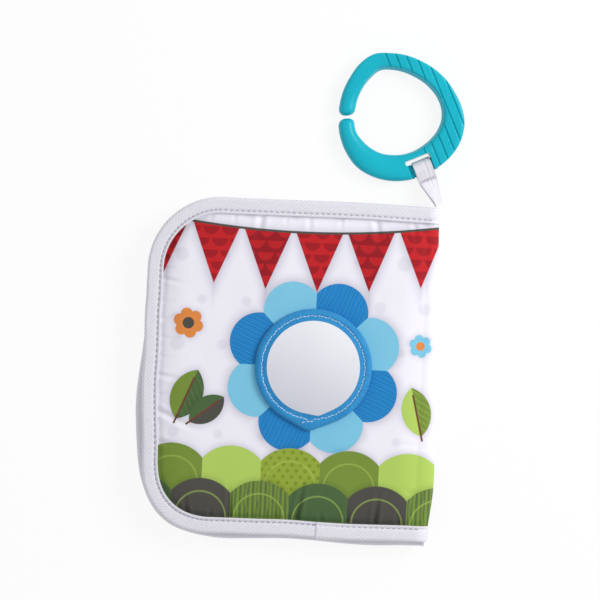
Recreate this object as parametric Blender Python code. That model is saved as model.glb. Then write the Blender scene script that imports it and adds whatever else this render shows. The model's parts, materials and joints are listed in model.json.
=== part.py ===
"""A crinkle cloth book: two padded covers and an inner page that turn about one sewn spine, a round
mirror sewn on the front cover, and a clip ring that hangs from the spine's end on a ribbon loop.

Metres, +Z up. The closed book lies on its back cover. +X points from the free edge to the spine, +Y to
the end with the ribbon, and the origin is the middle of the back cover's flat underside.

Each leaf is built in the spine's frame: u is the distance from the crease towards the free edge, y runs
along the crease, and h is the distance from the book's middle plane. The covers are mirror images.
"""

import math

import bmesh
import bpy
import numpy as np
from mathutils import Vector

MM = 0.001

# The book
BOOK_WIDTH = 168 * MM
BOOK_HEIGHT = 190 * MM
CORNER_RADIUS = 41 * MM
FRONT_SETBACK = 2.4 * MM
PAGE_TOP_SETBACK = 2 * MM
PAGE_SETBACK = 4.4 * MM

# Layers of the leaves, and the room between them
CLOTH = 0.6 * MM
FILM = 0.3 * MM
GAP = 0.3 * MM
LEAF_GAP = 0.4 * MM
WADDING_AT_SEAM = 0.9 * MM
CROWN = 2.4 * MM
CROWN_RUN = 18 * MM
CROWN_START = 10.2 * MM

# Binding tape folded over the free edges
BINDING_WIDTH = 9 * MM
COVER_TAPE = 0.9 * MM
COVER_TAPE_WALL = 1.2 * MM
COVER_TAPE_ROUND = 2 * MM
PAGE_TAPE = 0.6 * MM
PAGE_TAPE_WALL = 0.9 * MM
PAGE_TAPE_ROUND = 1.2 * MM

# Spine: how far the covers' cloths bend in to the crease, and where the layers inside them end
NOSE_RUN = 9 * MM
NOSE_REACH = 7.6 * MM
NOSE_LIP = 1.2 * MM
COVER_TAPE_START = 3.6 * MM
LINING_START = 4.2 * MM
COVER_FILM_START = 5 * MM
WADDING_START = 6.2 * MM
PAGE_START = 4.5 * MM
STRIP_WIDTH = 3.4 * MM
STRIP_HEIGHT = 1.6 * MM
STRIP_PAST_TOP = 0.5 * MM
STRIP_BEVEL = 0.25 * MM

# Mirror
MIRROR_X = 14.1 * MM
MIRROR_Y = 2.4 * MM
MIRROR_RADIUS = 32.5 * MM
MIRROR_TIP_PAST = 3.5 * MM
FRAME_WIDTH = 6.4 * MM
VIEW_TIP_PAST = 1.4 * MM
MIRROR_LIP = 5 * MM
MIRROR_WALL = 1 * MM
MIRROR_ROUND = 1.4 * MM
FRAME_CLOTH = 0.5 * MM
BACKING = 0.8 * MM
MIRROR_FILM = 0.3 * MM
MIRROR_TIP_ANGLE = math.radians(-92.4)
VIEW_TIP_ANGLE = math.radians(-81)

# Ribbon, sewn to the end of the spine's strip at its inner side
RIBBON_START = 3.6 * MM
RIBBON_WIDTH = 10.4 * MM
RIBBON = 0.6 * MM
RIBBON_SLIT = 0.5 * MM
RIBBON_TAIL = 23.5 * MM
RIBBON_STITCH = 7.2 * MM
RIBBON_LEAN = math.radians(24.8)
TWIST_START = 8 * MM
TWIST_END = 22 * MM
RIBBON_TWIST = math.radians(70)
EYE_PLAY = 0.35 * MM

# Clip ring: its own centre is between the hole's middle and the rim's
RING_RADIUS = 36 * MM
RING_WIDTH = 12 * MM
RING_THICKNESS = 10 * MM
BAR_RADIUS = 3.7 * MM
BAR_INSET = 2.7 * MM
RIBBON_ALONG_BAR = 1.65 * MM
SLOT_LEFT = 7 * MM
SLOT_RIGHT = 7.7 * MM
SLOT_REACH = 6.5 * MM
NOTCH_LEFT = 4.7 * MM
CLIP_GAP = 1.6 * MM
CLIP_GAP_ANGLE = math.radians(161.4)
CLIP_END_ROUND = 3.2 * MM
GROOVE_COUNT = 6
GROOVE_START = 5.8 * MM
GROOVE_PITCH = 5.2 * MM
GROOVE_WIDTH = 0.8 * MM
GROOVE_DEPTH = 0.5 * MM
CUT_OVERRUN = 5 * MM

# The rim and the hole as shares of their radii, every 15 degrees from the ring's +X
RIM_SHARES = (
    0.946, 0.92, 0.902, 0.902, 0.924, 0.958, 1.008, 0.99, 0.952, 0.937, 0.932, 0.948,
    0.981, 1.02, 1.058, 1.065, 1.061, 1.054, 1.046, 1.05, 1.066, 1.071, 1.052, 0.998,
)
HOLE_SHARES = (
    0.995, 0.965, 0.952, 0.955, 0.99, 1.045, 1.105, 1.065, 1.03, 1.014, 1.01, 1.035,
    1.07, 1.048, 1.028, 1.008, 0.975, 0.957, 0.946, 0.944, 0.965, 1, 1.026, 1.022,
)
# How square the ring's section is: a superellipse's power on the plain arm and on the ribbed side
PLAIN_POWER = 2.3
RIBBED_POWER = 4.0
# How much of the section is left at the rounded ends
CLIP_END_SHARE = 0.45

# Fineness of the meshes
CORNER_STEPS = 5
SIDE_ROWS = 3
RAMP_STEPS = 3
NOSE_STEPS = 5
MIRROR_STEPS = 36
RING_STEPS = 48
RING_SECTION_STEPS = 12
CLIP_END_STEPS = 3
EYE_STEPS = 14
TWIST_STEPS = 8
BAR_STEPS = 20
BEND_STEPS = 4
SHARP_ANGLE = math.radians(35)

# Heights of the layers from the middle plane, from the page's film outwards
PAGE_FILM_TOP = FILM / 2
PAGE_CLOTH_BOTTOM = PAGE_FILM_TOP + GAP
PAGE_CLOTH_TOP = PAGE_CLOTH_BOTTOM + CLOTH
PAGE_TAPE_TOP = PAGE_CLOTH_TOP + GAP + PAGE_TAPE
COVER_BOTTOM = PAGE_TAPE_TOP + LEAF_GAP
LINING_BOTTOM = COVER_BOTTOM + COVER_TAPE + GAP
COVER_FILM_BOTTOM = LINING_BOTTOM + CLOTH + GAP
WADDING_BOTTOM = COVER_FILM_BOTTOM + FILM + GAP
WADDING_TOP = WADDING_BOTTOM + WADDING_AT_SEAM
CLOTH_BOTTOM = WADDING_TOP + GAP
CLOTH_TOP = CLOTH_BOTTOM + CLOTH
COVER_TAPE_TOP = CLOTH_TOP + GAP + COVER_TAPE
HINGE_Z = CLOTH_TOP + CROWN

SPINE_X = BOOK_WIDTH / 2
HALF_HEIGHT = BOOK_HEIGHT / 2
COVER_INSET = COVER_TAPE_WALL + GAP
PAGE_INSET = PAGE_TAPE_WALL + GAP
STRIP_U = PAGE_START - GAP - STRIP_WIDTH / 2
RIBBON_HALF = RIBBON + RIBBON_SLIT / 2
HOLE_RADIUS = RING_RADIUS - RING_WIDTH
BAR_OFFSET = RING_RADIUS - BAR_INSET
# The bar is this much lower than the ribbon's root, because the ring lies on the same table
BAR_DROP = HINGE_Z - RING_THICKNESS / 2

# Each leaf's width from the crease, its top and foot, and the side of the middle plane that it lies on
BACK = {"width": BOOK_WIDTH, "top": HALF_HEIGHT, "foot": -HALF_HEIGHT, "side": -1}
FRONT = {
    "width": BOOK_WIDTH - FRONT_SETBACK,
    "top": HALF_HEIGHT,
    "foot": -HALF_HEIGHT + FRONT_SETBACK,
    "side": 1,
}
PAGE = {
    "width": BOOK_WIDTH - PAGE_SETBACK,
    "top": HALF_HEIGHT - PAGE_TOP_SETBACK,
    "foot": -HALF_HEIGHT + PAGE_SETBACK,
    "side": 1,
}

# Colours as (red, green, blue, roughness), display values from 0 to 1
COLOURS = {
    "cover_cloth": (0.93, 0.92, 0.95, 0.75),
    "wadding": (0.95, 0.95, 0.93, 0.95),
    "crinkle_film": (0.85, 0.88, 0.90, 0.25),
    "lining_cloth": (0.78, 0.88, 0.93, 0.80),
    "binding_tape": (0.91, 0.91, 0.94, 0.85),
    "mirror_frame": (0.18, 0.58, 0.84, 0.70),
    "mirror_backing": (0.92, 0.92, 0.90, 0.90),
    "page_cloth": (0.96, 0.93, 0.86, 0.80),
    "spine_strip": (0.94, 0.94, 0.96, 0.85),
    "ribbon": (0.95, 0.95, 0.97, 0.60),
    "ring_plastic": (0.13, 0.70, 0.79, 0.35),
}
MIRROR_COLOUR = (0.90, 0.90, 0.93, 0.06)


def clear_scene():
    for obj in list(bpy.data.objects):
        bpy.data.objects.remove(obj, do_unlink=True)


def principled(name, colour, metallic=0.0):
    """A Principled material from display values, which Blender wants linear."""
    material = bpy.data.materials.new(name)
    material.use_nodes = True
    shader = material.node_tree.nodes["Principled BSDF"]
    linear = [((value + 0.055) / 1.055) ** 2.4 for value in colour[:3]]
    shader.inputs["Base Color"].default_value = (*linear, 1)
    shader.inputs["Roughness"].default_value = colour[3]
    shader.inputs["Metallic"].default_value = metallic
    return material


def empty(name, location, parent=None, turn=0.0):
    """An empty at a joint's axis, in its parent's frame."""
    obj = bpy.data.objects.new(name, None)
    bpy.context.scene.collection.objects.link(obj)
    obj.parent = parent
    obj.location = location
    obj.rotation_euler.z = turn
    return obj


def add_object(name, vertices, faces, material, parent, location=(0, 0, 0)):
    """A mesh object whose faces point outwards."""
    mesh = bpy.data.meshes.new(name)
    mesh.from_pydata([tuple(point) for point in vertices], [], faces)
    shaped = bmesh.new()
    shaped.from_mesh(mesh)
    bmesh.ops.recalc_face_normals(shaped, faces=shaped.faces)
    shaped.to_mesh(mesh)
    shaped.free()
    mesh.shade_smooth()
    mesh.set_sharp_from_angle(angle=SHARP_ANGLE)
    mesh.materials.append(material)
    obj = bpy.data.objects.new(name, mesh)
    bpy.context.scene.collection.objects.link(obj)
    obj.parent = parent
    obj.location = location
    return obj


def sheet_between(lower, upper):
    """Vertices and faces of the closed solid between two grids of as many rows and columns.

    Every cell is split along the same diagonal, so that layers that lie on each other fold alike.
    """
    rows, columns = lower.shape[:2]
    count = rows * columns
    index = np.arange(count).reshape(rows, columns)
    a, b = index[:-1, :-1].ravel(), index[:-1, 1:].ravel()
    c, d = index[1:, 1:].ravel(), index[1:, :-1].ravel()
    half = np.concatenate([np.stack([a, b, c], 1), np.stack([a, c, d], 1)])
    rim = np.concatenate([index[0, :-1], index[:-1, -1], index[-1, :0:-1], index[:0:-1, 0]])
    after = np.roll(rim, -1)
    walls = np.stack([rim, after, after + count, rim + count], 1)
    faces = half.tolist() + (half[:, ::-1] + count).tolist() + walls[:, ::-1].tolist()
    return np.concatenate([lower.reshape(-1, 3), upper.reshape(-1, 3)]), faces


def loft(sections, closed):
    """Vertices and faces of a tube through closed sections, either a closed loop or with flat ends."""
    stations, points = sections.shape[:2]
    index = np.arange(stations * points).reshape(stations, points)
    rows = index if not closed else np.concatenate([index, index[:1]])
    a, b = rows[:-1], np.roll(rows[:-1], -1, axis=1)
    c, d = np.roll(rows[1:], -1, axis=1), rows[1:]
    faces = np.stack([a, b, c, d], 2).reshape(-1, 4).tolist()
    if not closed:
        faces += [index[0, ::-1].tolist(), index[-1].tolist()]
    return sections.reshape(-1, 3), faces


def edge_path(leaf, inset, start=0.0):
    """(u, y) of the leaf's bound edge, drawn in by inset, and the way in from it.

    It runs along the top from start, round the corner, down the free edge, round and back.
    """
    centre_u = leaf["width"] - CORNER_RADIUS
    turns = np.linspace(0, math.pi / 2, CORNER_STEPS + 1)
    outward = np.stack([np.sin(turns), np.cos(turns)], 1)
    top = outward * (CORNER_RADIUS - inset) + (centre_u, leaf["top"] - CORNER_RADIUS)
    outward_foot = np.stack([np.cos(turns), -np.sin(turns)], 1)
    foot = outward_foot * (CORNER_RADIUS - inset) + (centre_u, leaf["foot"] + CORNER_RADIUS)
    run = np.array([start]) if np.isscalar(start) else np.asarray(start)
    first = np.stack([run, np.full(len(run), leaf["top"] - inset)], 1)
    last = np.stack([run[::-1], np.full(len(run), leaf["foot"] + inset)], 1)
    points = np.concatenate([first, top, foot, last])
    ways = [(0, 1)] * len(run) + outward.tolist() + outward_foot.tolist() + [(0, -1)] * len(run)
    return points, -np.array(ways, float)


def leaf_grid(leaf, inset, offsets, stations):
    """(u, y) of a grid over the leaf, as two arrays of rows along y and columns towards the spine.

    The first columns keep their offsets from the bound edge, the last lie at given stations from the
    crease, and the rows follow the corners' arcs.
    """
    edge, _ = edge_path(leaf, inset)
    corner = CORNER_STEPS + 1
    top, foot = edge[1 : 1 + corner], edge[1 + corner : -1]
    middle = np.linspace(top[-1], foot[0], SIDE_ROWS + 2)[1:-1]
    bound = np.concatenate([top, middle, foot])
    near = bound[:, :1] - np.asarray(offsets)
    far = np.broadcast_to(np.asarray(stations), (len(bound), len(stations)))
    return np.concatenate([near, far], 1), np.repeat(bound[:, 1:], near.shape[1] + far.shape[1], 1)


def crown_share(leaf, u, y):
    """How full the padding is, from 0 beside the binding and at the spine to 1 on the flat middle."""
    past_u = u - (leaf["width"] - CORNER_RADIUS)
    past_y = np.maximum(y - leaf["top"], leaf["foot"] - y) + CORNER_RADIUS
    round_in = CORNER_RADIUS - np.hypot(np.maximum(past_u, 0), np.maximum(past_y, 0))
    straight_in = CORNER_RADIUS - np.maximum(past_u, past_y)
    inside = np.where((past_u > 0) & (past_y > 0), round_in, straight_in)
    from_tape = np.clip((inside - CROWN_START) / CROWN_RUN, 0, 1)
    from_spine = np.clip((u - NOSE_RUN) / CROWN_RUN, 0, 1)
    return (1 - (1 - from_tape) ** 2) * (1 - (1 - from_spine) ** 2)


def nose_height(u, reach, height):
    """The quarter ellipse that the cloth and the tape follow down to the crease."""
    return height * np.sqrt(np.clip(1 - (np.maximum(NOSE_RUN - u, 0) / reach) ** 2, 0, 1))


def in_leaf(leaf, u, y, h):
    """Points in the spine's frame."""
    return np.stack(np.broadcast_arrays(-u, y, leaf["side"] * h), -1)


def ramp_columns():
    """Offsets from the bound edge, and stations at the spine, that follow the padding's slopes."""
    slope = np.linspace(0, CROWN_RUN, RAMP_STEPS + 1)
    offsets = [0, *(CROWN_START - COVER_INSET + slope)]
    stations = NOSE_RUN + slope[::-1]
    return offsets, stations


def flat_layer(name, leaf, inset, start, bottom, top, material, parent):
    """A flat sheet of the leaf's outline, from a distance off the crease to the inside of the tape."""
    u, y = leaf_grid(leaf, inset, [0], [start])
    lower = in_leaf(leaf, u, y, np.full_like(u, bottom))
    upper = in_leaf(leaf, u, y, np.full_like(u, top))
    return add_object(name, *sheet_between(lower, upper), material, parent)


def cover_cloth(name, leaf, material, parent):
    """The printed cloth: crowned over the wadding, then bent in a quarter ellipse to the crease."""
    offsets, stations = ramp_columns()
    turn_end = math.acos(NOSE_LIP / CLOTH_TOP)
    turns = np.linspace(0, turn_end, NOSE_STEPS + 1)[1:]
    surfaces = []
    for reach, height in ((NOSE_REACH - CLOTH, CLOTH_BOTTOM), (NOSE_REACH, CLOTH_TOP)):
        nose_u = NOSE_RUN - reach * np.sin(turns)
        nose_h = height * np.cos(turns)
        if height < CLOTH_TOP:
            nose_h[-1] = NOSE_LIP
        u, y = leaf_grid(leaf, COVER_INSET, offsets, [*stations, *nose_u])
        h = height + CROWN * crown_share(leaf, u, y)
        h[:, -NOSE_STEPS:] = nose_h
        surfaces.append(in_leaf(leaf, u, y, h))
    return add_object(name, *sheet_between(*surfaces), material, parent)


def cover_wadding(name, leaf, material, parent):
    """The padding: flat below, and as full above as the cloth that lies on it."""
    offsets, stations = ramp_columns()
    nose = np.linspace(NOSE_RUN, WADDING_START, NOSE_STEPS)[1:]
    u, y = leaf_grid(leaf, COVER_INSET, offsets, [*stations, *nose])
    bend = nose_height(u, NOSE_REACH - CLOTH, CLOTH_BOTTOM) - GAP
    upper = bend + CROWN * crown_share(leaf, u, y)
    bottom = np.full_like(u, WADDING_BOTTOM)
    surfaces = in_leaf(leaf, u, y, bottom), in_leaf(leaf, u, y, upper)
    return add_object(name, *sheet_between(*surfaces), material, parent)


def tape_section(bottom, top, floor, ceiling, wall, rounding):
    """(way in, height) round a U of tape: its rounded outside, then its inside."""
    turns = np.linspace(0, math.pi, BEND_STEPS + 1)
    bend_in = rounding * (1 - np.sin(turns))
    bend_h = (top + bottom) / 2 + (top - bottom) / 2 * np.cos(turns)
    inward = [BINDING_WIDTH, *bend_in, BINDING_WIDTH, BINDING_WIDTH, wall, wall, BINDING_WIDTH]
    height = [top, *bend_h, bottom, floor, floor, ceiling, ceiling]
    return np.array(inward), np.array(height)


def binding(name, leaf, start, section_at, material, parent):
    """Tape folded over the top, the free edge and the foot, whose section may change near the spine."""
    path, ways = edge_path(leaf, 0, start)
    sections = []
    for point, way in zip(path, ways):
        inward, height = section_at(point[0])
        flat = point + inward[:, None] * way
        sections.append(in_leaf(leaf, flat[:, 0], flat[:, 1], height))
    return add_object(name, *loft(np.array(sections), False), material, parent)


def cover_tape_at(u):
    """A cover's tape keeps to the cloth as that bends in to the crease."""
    top = nose_height(u, NOSE_REACH + GAP + COVER_TAPE, COVER_TAPE_TOP)
    ceiling = nose_height(u, NOSE_REACH + GAP, COVER_TAPE_TOP - COVER_TAPE)
    floor = COVER_BOTTOM + COVER_TAPE
    return tape_section(COVER_BOTTOM, top, floor, ceiling, COVER_TAPE_WALL, COVER_TAPE_ROUND)


def page_tape_at(_):
    inside = PAGE_TAPE_TOP - PAGE_TAPE
    return tape_section(-PAGE_TAPE_TOP, PAGE_TAPE_TOP, -inside, inside, PAGE_TAPE_WALL, PAGE_TAPE_ROUND)


def add_cover(name, leaf, finishes, parent):
    """The five pieces of one cover, from the outside in."""
    cover_cloth(f"{name}_cover_cloth", leaf, finishes["cover_cloth"], parent)
    cover_wadding(f"{name}_cover_wadding", leaf, finishes["wadding"], parent)
    film_top = COVER_FILM_BOTTOM + FILM
    flat_layer(f"{name}_cover_crinkle_film", leaf, COVER_INSET, COVER_FILM_START, COVER_FILM_BOTTOM,
               film_top, finishes["crinkle_film"], parent)
    flat_layer(f"{name}_cover_lining", leaf, COVER_INSET, LINING_START, LINING_BOTTOM,
               LINING_BOTTOM + CLOTH, finishes["lining_cloth"], parent)
    start = np.linspace(COVER_TAPE_START, NOSE_RUN, 4)
    binding(f"{name}_cover_binding", leaf, start, cover_tape_at, finishes["binding_tape"], parent)


def add_page(finishes, parent):
    """The inner page: two cloths with a sheet of film between them, bound with thinner tape."""
    cloth = finishes["page_cloth"]
    flat_layer("page_front_cloth", PAGE, PAGE_INSET, PAGE_START, PAGE_CLOTH_BOTTOM, PAGE_CLOTH_TOP,
               cloth, parent)
    flat_layer("page_crinkle_film", PAGE, PAGE_INSET, PAGE_START, -PAGE_FILM_TOP, PAGE_FILM_TOP,
               finishes["crinkle_film"], parent)
    flat_layer("page_back_cloth", PAGE, PAGE_INSET, PAGE_START, -PAGE_CLOTH_TOP, -PAGE_CLOTH_BOTTOM,
               cloth, parent)
    binding("page_binding", PAGE, PAGE_START, page_tape_at, finishes["binding_tape"], parent)


def add_spine_strip(material, parent):
    """The seam allowance that holds the covers and the page, a soft strip along the crease."""
    length = STRIP_PAST_TOP + BOOK_HEIGHT
    strip = bmesh.new()
    bmesh.ops.create_cube(strip, size=1)
    bmesh.ops.scale(strip, verts=strip.verts, vec=Vector((STRIP_WIDTH, length, STRIP_HEIGHT)))
    bmesh.ops.translate(strip, verts=strip.verts, vec=Vector((-STRIP_U, STRIP_PAST_TOP / 2, 0)))
    mesh = bpy.data.meshes.new("spine_strip")
    strip.to_mesh(mesh)
    strip.free()
    mesh.materials.append(material)
    obj = bpy.data.objects.new("spine_strip", mesh)
    bpy.context.scene.collection.objects.link(obj)
    obj.parent = parent
    bevel = obj.modifiers.new("soft edges", "BEVEL")
    bevel.width = STRIP_BEVEL
    bevel.segments = 2


def drop_outline(angles, tip_angle, radius, tip_past):
    """Radii of a circle that runs out to a point past it, along the two tangents from that tip."""
    spread = math.acos(radius / (radius + tip_past))
    off = np.abs((angles - tip_angle + math.pi) % math.tau - math.pi)
    return radius / np.cos(np.maximum(spread - off, 0))


def add_mirror(finishes, parent):
    """Backing pad and mirror film held in a bound frame, which stands on the cover's flat middle."""
    angles = MIRROR_TIP_ANGLE + np.linspace(0, math.tau, MIRROR_STEPS, endpoint=False)
    way = np.stack([np.cos(angles), np.sin(angles)], 1)
    rim = drop_outline(angles, MIRROR_TIP_ANGLE, MIRROR_RADIUS, MIRROR_TIP_PAST)
    view = drop_outline(angles, VIEW_TIP_ANGLE, MIRROR_RADIUS - FRAME_WIDTH, VIEW_TIP_PAST)
    backing_bottom = FRAME_CLOTH + GAP
    film_bottom = backing_bottom + BACKING + GAP
    ceiling = film_bottom + MIRROR_FILM + GAP
    top = ceiling + FRAME_CLOTH
    turns = np.linspace(0, math.pi, BEND_STEPS + 1)
    bend_in = MIRROR_ROUND * (1 - np.sin(turns))
    bend_z = top / 2 + top / 2 * np.cos(turns)
    sections = []
    for direction, outer, inner in zip(way, rim, view):
        lip = outer - inner
        inward = [lip, *bend_in, MIRROR_LIP, MIRROR_LIP, MIRROR_WALL, MIRROR_WALL, lip]
        height = [top, *bend_z, 0, FRAME_CLOTH, FRAME_CLOTH, ceiling, ceiling]
        flat = direction * (outer - np.array(inward))[:, None]
        sections.append(np.column_stack([flat, height]))
    place = (MIRROR_X - SPINE_X, MIRROR_Y, HINGE_Z + GAP)
    add_object("mirror_frame", *loft(np.array(sections), True), finishes["mirror_frame"], parent, place)
    disc_radius = MIRROR_RADIUS - MIRROR_WALL - GAP
    for name, bottom, thickness, finish in (
        ("mirror_backing", backing_bottom, BACKING, "mirror_backing"),
        ("mirror_film", film_bottom, MIRROR_FILM, "mirror_film"),
    ):
        flat = way * disc_radius
        rings = [np.column_stack([flat, np.full(MIRROR_STEPS, z)]) for z in (bottom, bottom + thickness)]
        add_object(name, *loft(np.array(rings), False), finishes[finish], parent, place)


def ribbon_path():
    """(along, off) of one strand's two faces, from the root to half way round the ring's bar.

    The strand runs beside its twin, leaves it at the stitching along a tangent, and goes round the bar.
    """
    inner = BAR_RADIUS + EYE_PLAY
    mean = inner + RIBBON / 2
    off = (RIBBON + RIBBON_SLIT) / 2
    reach = math.hypot(RIBBON_STITCH, off)
    tangent = math.atan2(off, RIBBON_STITCH) + math.acos(mean / reach)
    round_bar = np.linspace(tangent, math.pi, EYE_STEPS // 2 + 1)
    eye = [np.stack([np.cos(round_bar), np.sin(round_bar)], 1) * r for r in (inner + RIBBON, inner)]
    along = np.concatenate([np.linspace(TWIST_END, TWIST_START, TWIST_STEPS + 1), [RIBBON_STITCH]])
    straight = [np.stack([along, np.full(len(along), f)], 1) for f in (RIBBON_HALF, RIBBON_SLIT / 2)]
    round_end = math.sqrt(RIBBON_HALF**2 - (RIBBON_SLIT / 2) ** 2)
    ends = np.array([[RIBBON_TAIL, RIBBON_HALF]]), np.array([[RIBBON_TAIL + round_end, RIBBON_SLIT / 2]])
    return [np.concatenate([ends[i], straight[i], eye[i]]) for i in (0, 1)]


def add_ribbon(material, parent):
    """One strip of woven tape: up to the ring's bar, round it and back, turned on edge towards the spine.

    In the ribbon's frame the root is at the origin and the bar lies at the tail's length along +Y.
    """
    outer, inner = ribbon_path()
    back = [face[-2::-1] * (1, -1) for face in (outer, inner)]
    faces = np.concatenate([outer, back[0]]), np.concatenate([inner, back[1]])
    across = np.array([-RIBBON_WIDTH / 2, 0, RIBBON_WIDTH / 2])
    sections = []
    for face_pair in zip(*faces):
        section = []
        for (along, off), widths in zip(face_pair, (across, across[::-1])):
            share = np.clip((along - TWIST_START) / (TWIST_END - TWIST_START), 0, 1)
            eased = share * share * (3 - 2 * share)
            turn = eased * RIBBON_TWIST
            rise = eased * BAR_DROP
            x = widths * math.cos(turn) + off * math.sin(turn)
            z = -widths * math.sin(turn) + off * math.cos(turn)
            section.append(np.column_stack([x, np.full(3, RIBBON_TAIL - along), z - BAR_DROP + rise]))
        sections.append(np.concatenate(section))
    add_object("hanging_ribbon", *loft(np.array(sections), False), material, parent)


def round_shares(shares, angles):
    """Smooth values round a circle through equally spaced shares (Catmull-Rom)."""
    shares = np.asarray(shares)
    place = angles / math.tau * len(shares)
    first = np.floor(place).astype(int)
    t = place - first
    p0, p1, p2, p3 = (shares[(first + step) % len(shares)] for step in (-1, 0, 1, 2))
    return p1 + t / 2 * (p2 - p0 + t * (2 * p0 - 5 * p1 + 4 * p2 - p3 + t * (3 * (p1 - p2) + p3 - p0)))


def ring_arm(drawn_in):
    """The open ring's sections: superellipses between the hole and the rim, with rounded ends.

    Each section may be drawn in on all sides, which gives the core that the grooves stop at.
    """
    half_gap = CLIP_GAP / 2 / ((RING_RADIUS + HOLE_RADIUS) / 2)
    end_turn = CLIP_END_ROUND / ((RING_RADIUS + HOLE_RADIUS) / 2)
    end_turns = np.linspace(0, math.pi / 2, CLIP_END_STEPS + 1)
    into_end = end_turn * (1 - np.cos(end_turns))
    from_gap = np.concatenate([
        half_gap + into_end,
        np.linspace(half_gap + end_turn, math.tau - half_gap - end_turn, RING_STEPS)[1:-1],
        math.tau - half_gap - into_end[::-1],
    ])
    end_sizes = CLIP_END_SHARE + (1 - CLIP_END_SHARE) * np.sin(end_turns)
    sizes = np.concatenate([end_sizes, np.ones(RING_STEPS - 2), end_sizes[::-1]])
    angles = CLIP_GAP_ANGLE + from_gap
    rim = RING_RADIUS * round_shares(RIM_SHARES, angles)
    hole = HOLE_RADIUS * round_shares(HOLE_SHARES, angles)
    power = PLAIN_POWER + (RIBBED_POWER - PLAIN_POWER) * (1 + np.cos(angles)) / 2
    turns = np.linspace(0, math.tau, RING_SECTION_STEPS, endpoint=False)
    cosine, sine = np.cos(turns), np.sin(turns)
    out = np.sign(cosine) * np.abs(cosine) ** (2 / power[:, None])
    up = np.sign(sine) * np.abs(sine) ** (2 / power[:, None])
    radius = ((rim + hole) / 2)[:, None] + (((rim - hole) / 2 - drawn_in) * sizes)[:, None] * out
    z = (RING_THICKNESS / 2 - drawn_in) * sizes[:, None] * up
    return np.stack([radius * np.cos(angles)[:, None], radius * np.sin(angles)[:, None], z], -1)


def hide(obj):
    """A helper that only a Boolean uses."""
    obj.hide_render = True
    obj.display_type = "WIRE"
    return obj


def prism(outline, bottom, top):
    """Vertices and faces of an outline raised from bottom to top."""
    flat = np.array(outline)
    rings = [np.column_stack([flat, np.full(len(flat), z)]) for z in (bottom, top)]
    return loft(np.array(rings), False)


def boolean(obj, other, operation):
    modifier = obj.modifiers.new(other.name, "BOOLEAN")
    modifier.operation = operation
    modifier.solver = "EXACT"
    modifier.object = other


def ribbon_slot(left, past, material, parent):
    """The cut round the bar: a slot inside it, and a narrower notch out through the rim."""
    outline = [
        (left - SLOT_LEFT, SLOT_REACH),
        (left - SLOT_LEFT, 0),
        (left - NOTCH_LEFT, 0),
        (left - NOTCH_LEFT, -BAR_OFFSET),
        (left + SLOT_RIGHT, -BAR_OFFSET),
        (left + SLOT_RIGHT, SLOT_REACH),
    ]
    return hide(add_object("slot_cutter", *prism(outline, -past, past), material, parent))


def ribbon_bar(left, material, parent):
    """The round bar that the ribbon goes round, let into both sides of the slot."""
    turns = np.linspace(0, math.tau, BAR_STEPS, endpoint=False)
    ends = (left - SLOT_LEFT - BAR_RADIUS / 2, left + SLOT_RIGHT + BAR_RADIUS / 2)
    wheel = BAR_RADIUS * np.stack([np.cos(turns), np.sin(turns)], 1)
    sections = np.array([np.column_stack([np.full(BAR_STEPS, x), wheel]) for x in ends])
    return hide(add_object("ribbon_bar", *loft(sections, False), material, parent))


def groove_cutter(left, past, centre, material, parent):
    """Slabs square to the bar, less the ring's core, so that the grooves go round the section."""
    far = BAR_OFFSET + RING_RADIUS + CUT_OVERRUN
    vertices, faces = [], []
    for number in range(GROOVE_COUNT):
        x = left + GROOVE_START + number * GROOVE_PITCH
        low, high = x - GROOVE_WIDTH / 2, x + GROOVE_WIDTH / 2
        points, sides = prism([(low, -far), (high, -far), (high, far), (low, far)], -past, past)
        faces += [[corner + len(vertices) for corner in side] for side in sides]
        vertices += points.tolist()
    slabs = hide(add_object("groove_cutter", vertices, faces, material, parent))
    core = loft(ring_arm(GROOVE_DEPTH) + centre, False)
    boolean(slabs, hide(add_object("ring_core", *core, material, parent)), "DIFFERENCE")
    return slabs


def add_ring(material, parent):
    """The clip ring in the frame of its bar: an open ring, cut through for the ribbon, with grooves.

    The bar lies along X through the origin, and the ring's own centre is up along Y from it.
    """
    left = -RIBBON_ALONG_BAR
    centre = np.array([left, BAR_OFFSET, 0])
    past = RING_THICKNESS / 2 + CUT_OVERRUN
    ring = add_object("clip_ring", *loft(ring_arm(0) + centre, False), material, parent)
    boolean(ring, groove_cutter(left, past, centre, material, parent), "DIFFERENCE")
    boolean(ring, ribbon_slot(left, past, material, parent), "DIFFERENCE")
    boolean(ring, ribbon_bar(left, material, parent), "UNION")


def main():
    clear_scene()
    finishes = {name: principled(name, colour) for name, colour in COLOURS.items()}
    finishes["mirror_film"] = principled("mirror_film", MIRROR_COLOUR, 1.0)
    crease = (SPINE_X, 0, HINGE_Z)
    back_cover = empty("back_cover_frame", crease)
    add_cover("back", BACK, finishes, back_cover)
    add_spine_strip(finishes["spine_strip"], back_cover)
    front_cover = empty("cover_hinge", crease)
    add_cover("front", FRONT, finishes, front_cover)
    add_mirror(finishes, front_cover)
    add_page(finishes, empty("page_hinge", crease))
    root_y = HALF_HEIGHT + STRIP_PAST_TOP + GAP + RIBBON_HALF
    root = empty("ribbon_root", (SPINE_X - RIBBON_START, root_y, HINGE_Z), turn=RIBBON_LEAN)
    add_ribbon(finishes["ribbon"], root)
    bar = empty("ring_bar", (0, RIBBON_TAIL, -BAR_DROP), root)
    add_ring(finishes["ring_plastic"], bar)


main()
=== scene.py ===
"""Looks of the crinkle cloth book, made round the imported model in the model's own frame.

Metres, +Z up. The closed book lies on its back cover, +X points from the free edge to the spine and +Y to
the end with the ribbon and ring. Each leaf is worked out in the spine's frame: u is the distance from the
crease towards the free edge, y runs along the crease, and h is the distance from the book's middle plane.
"""

import json
import math

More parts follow.
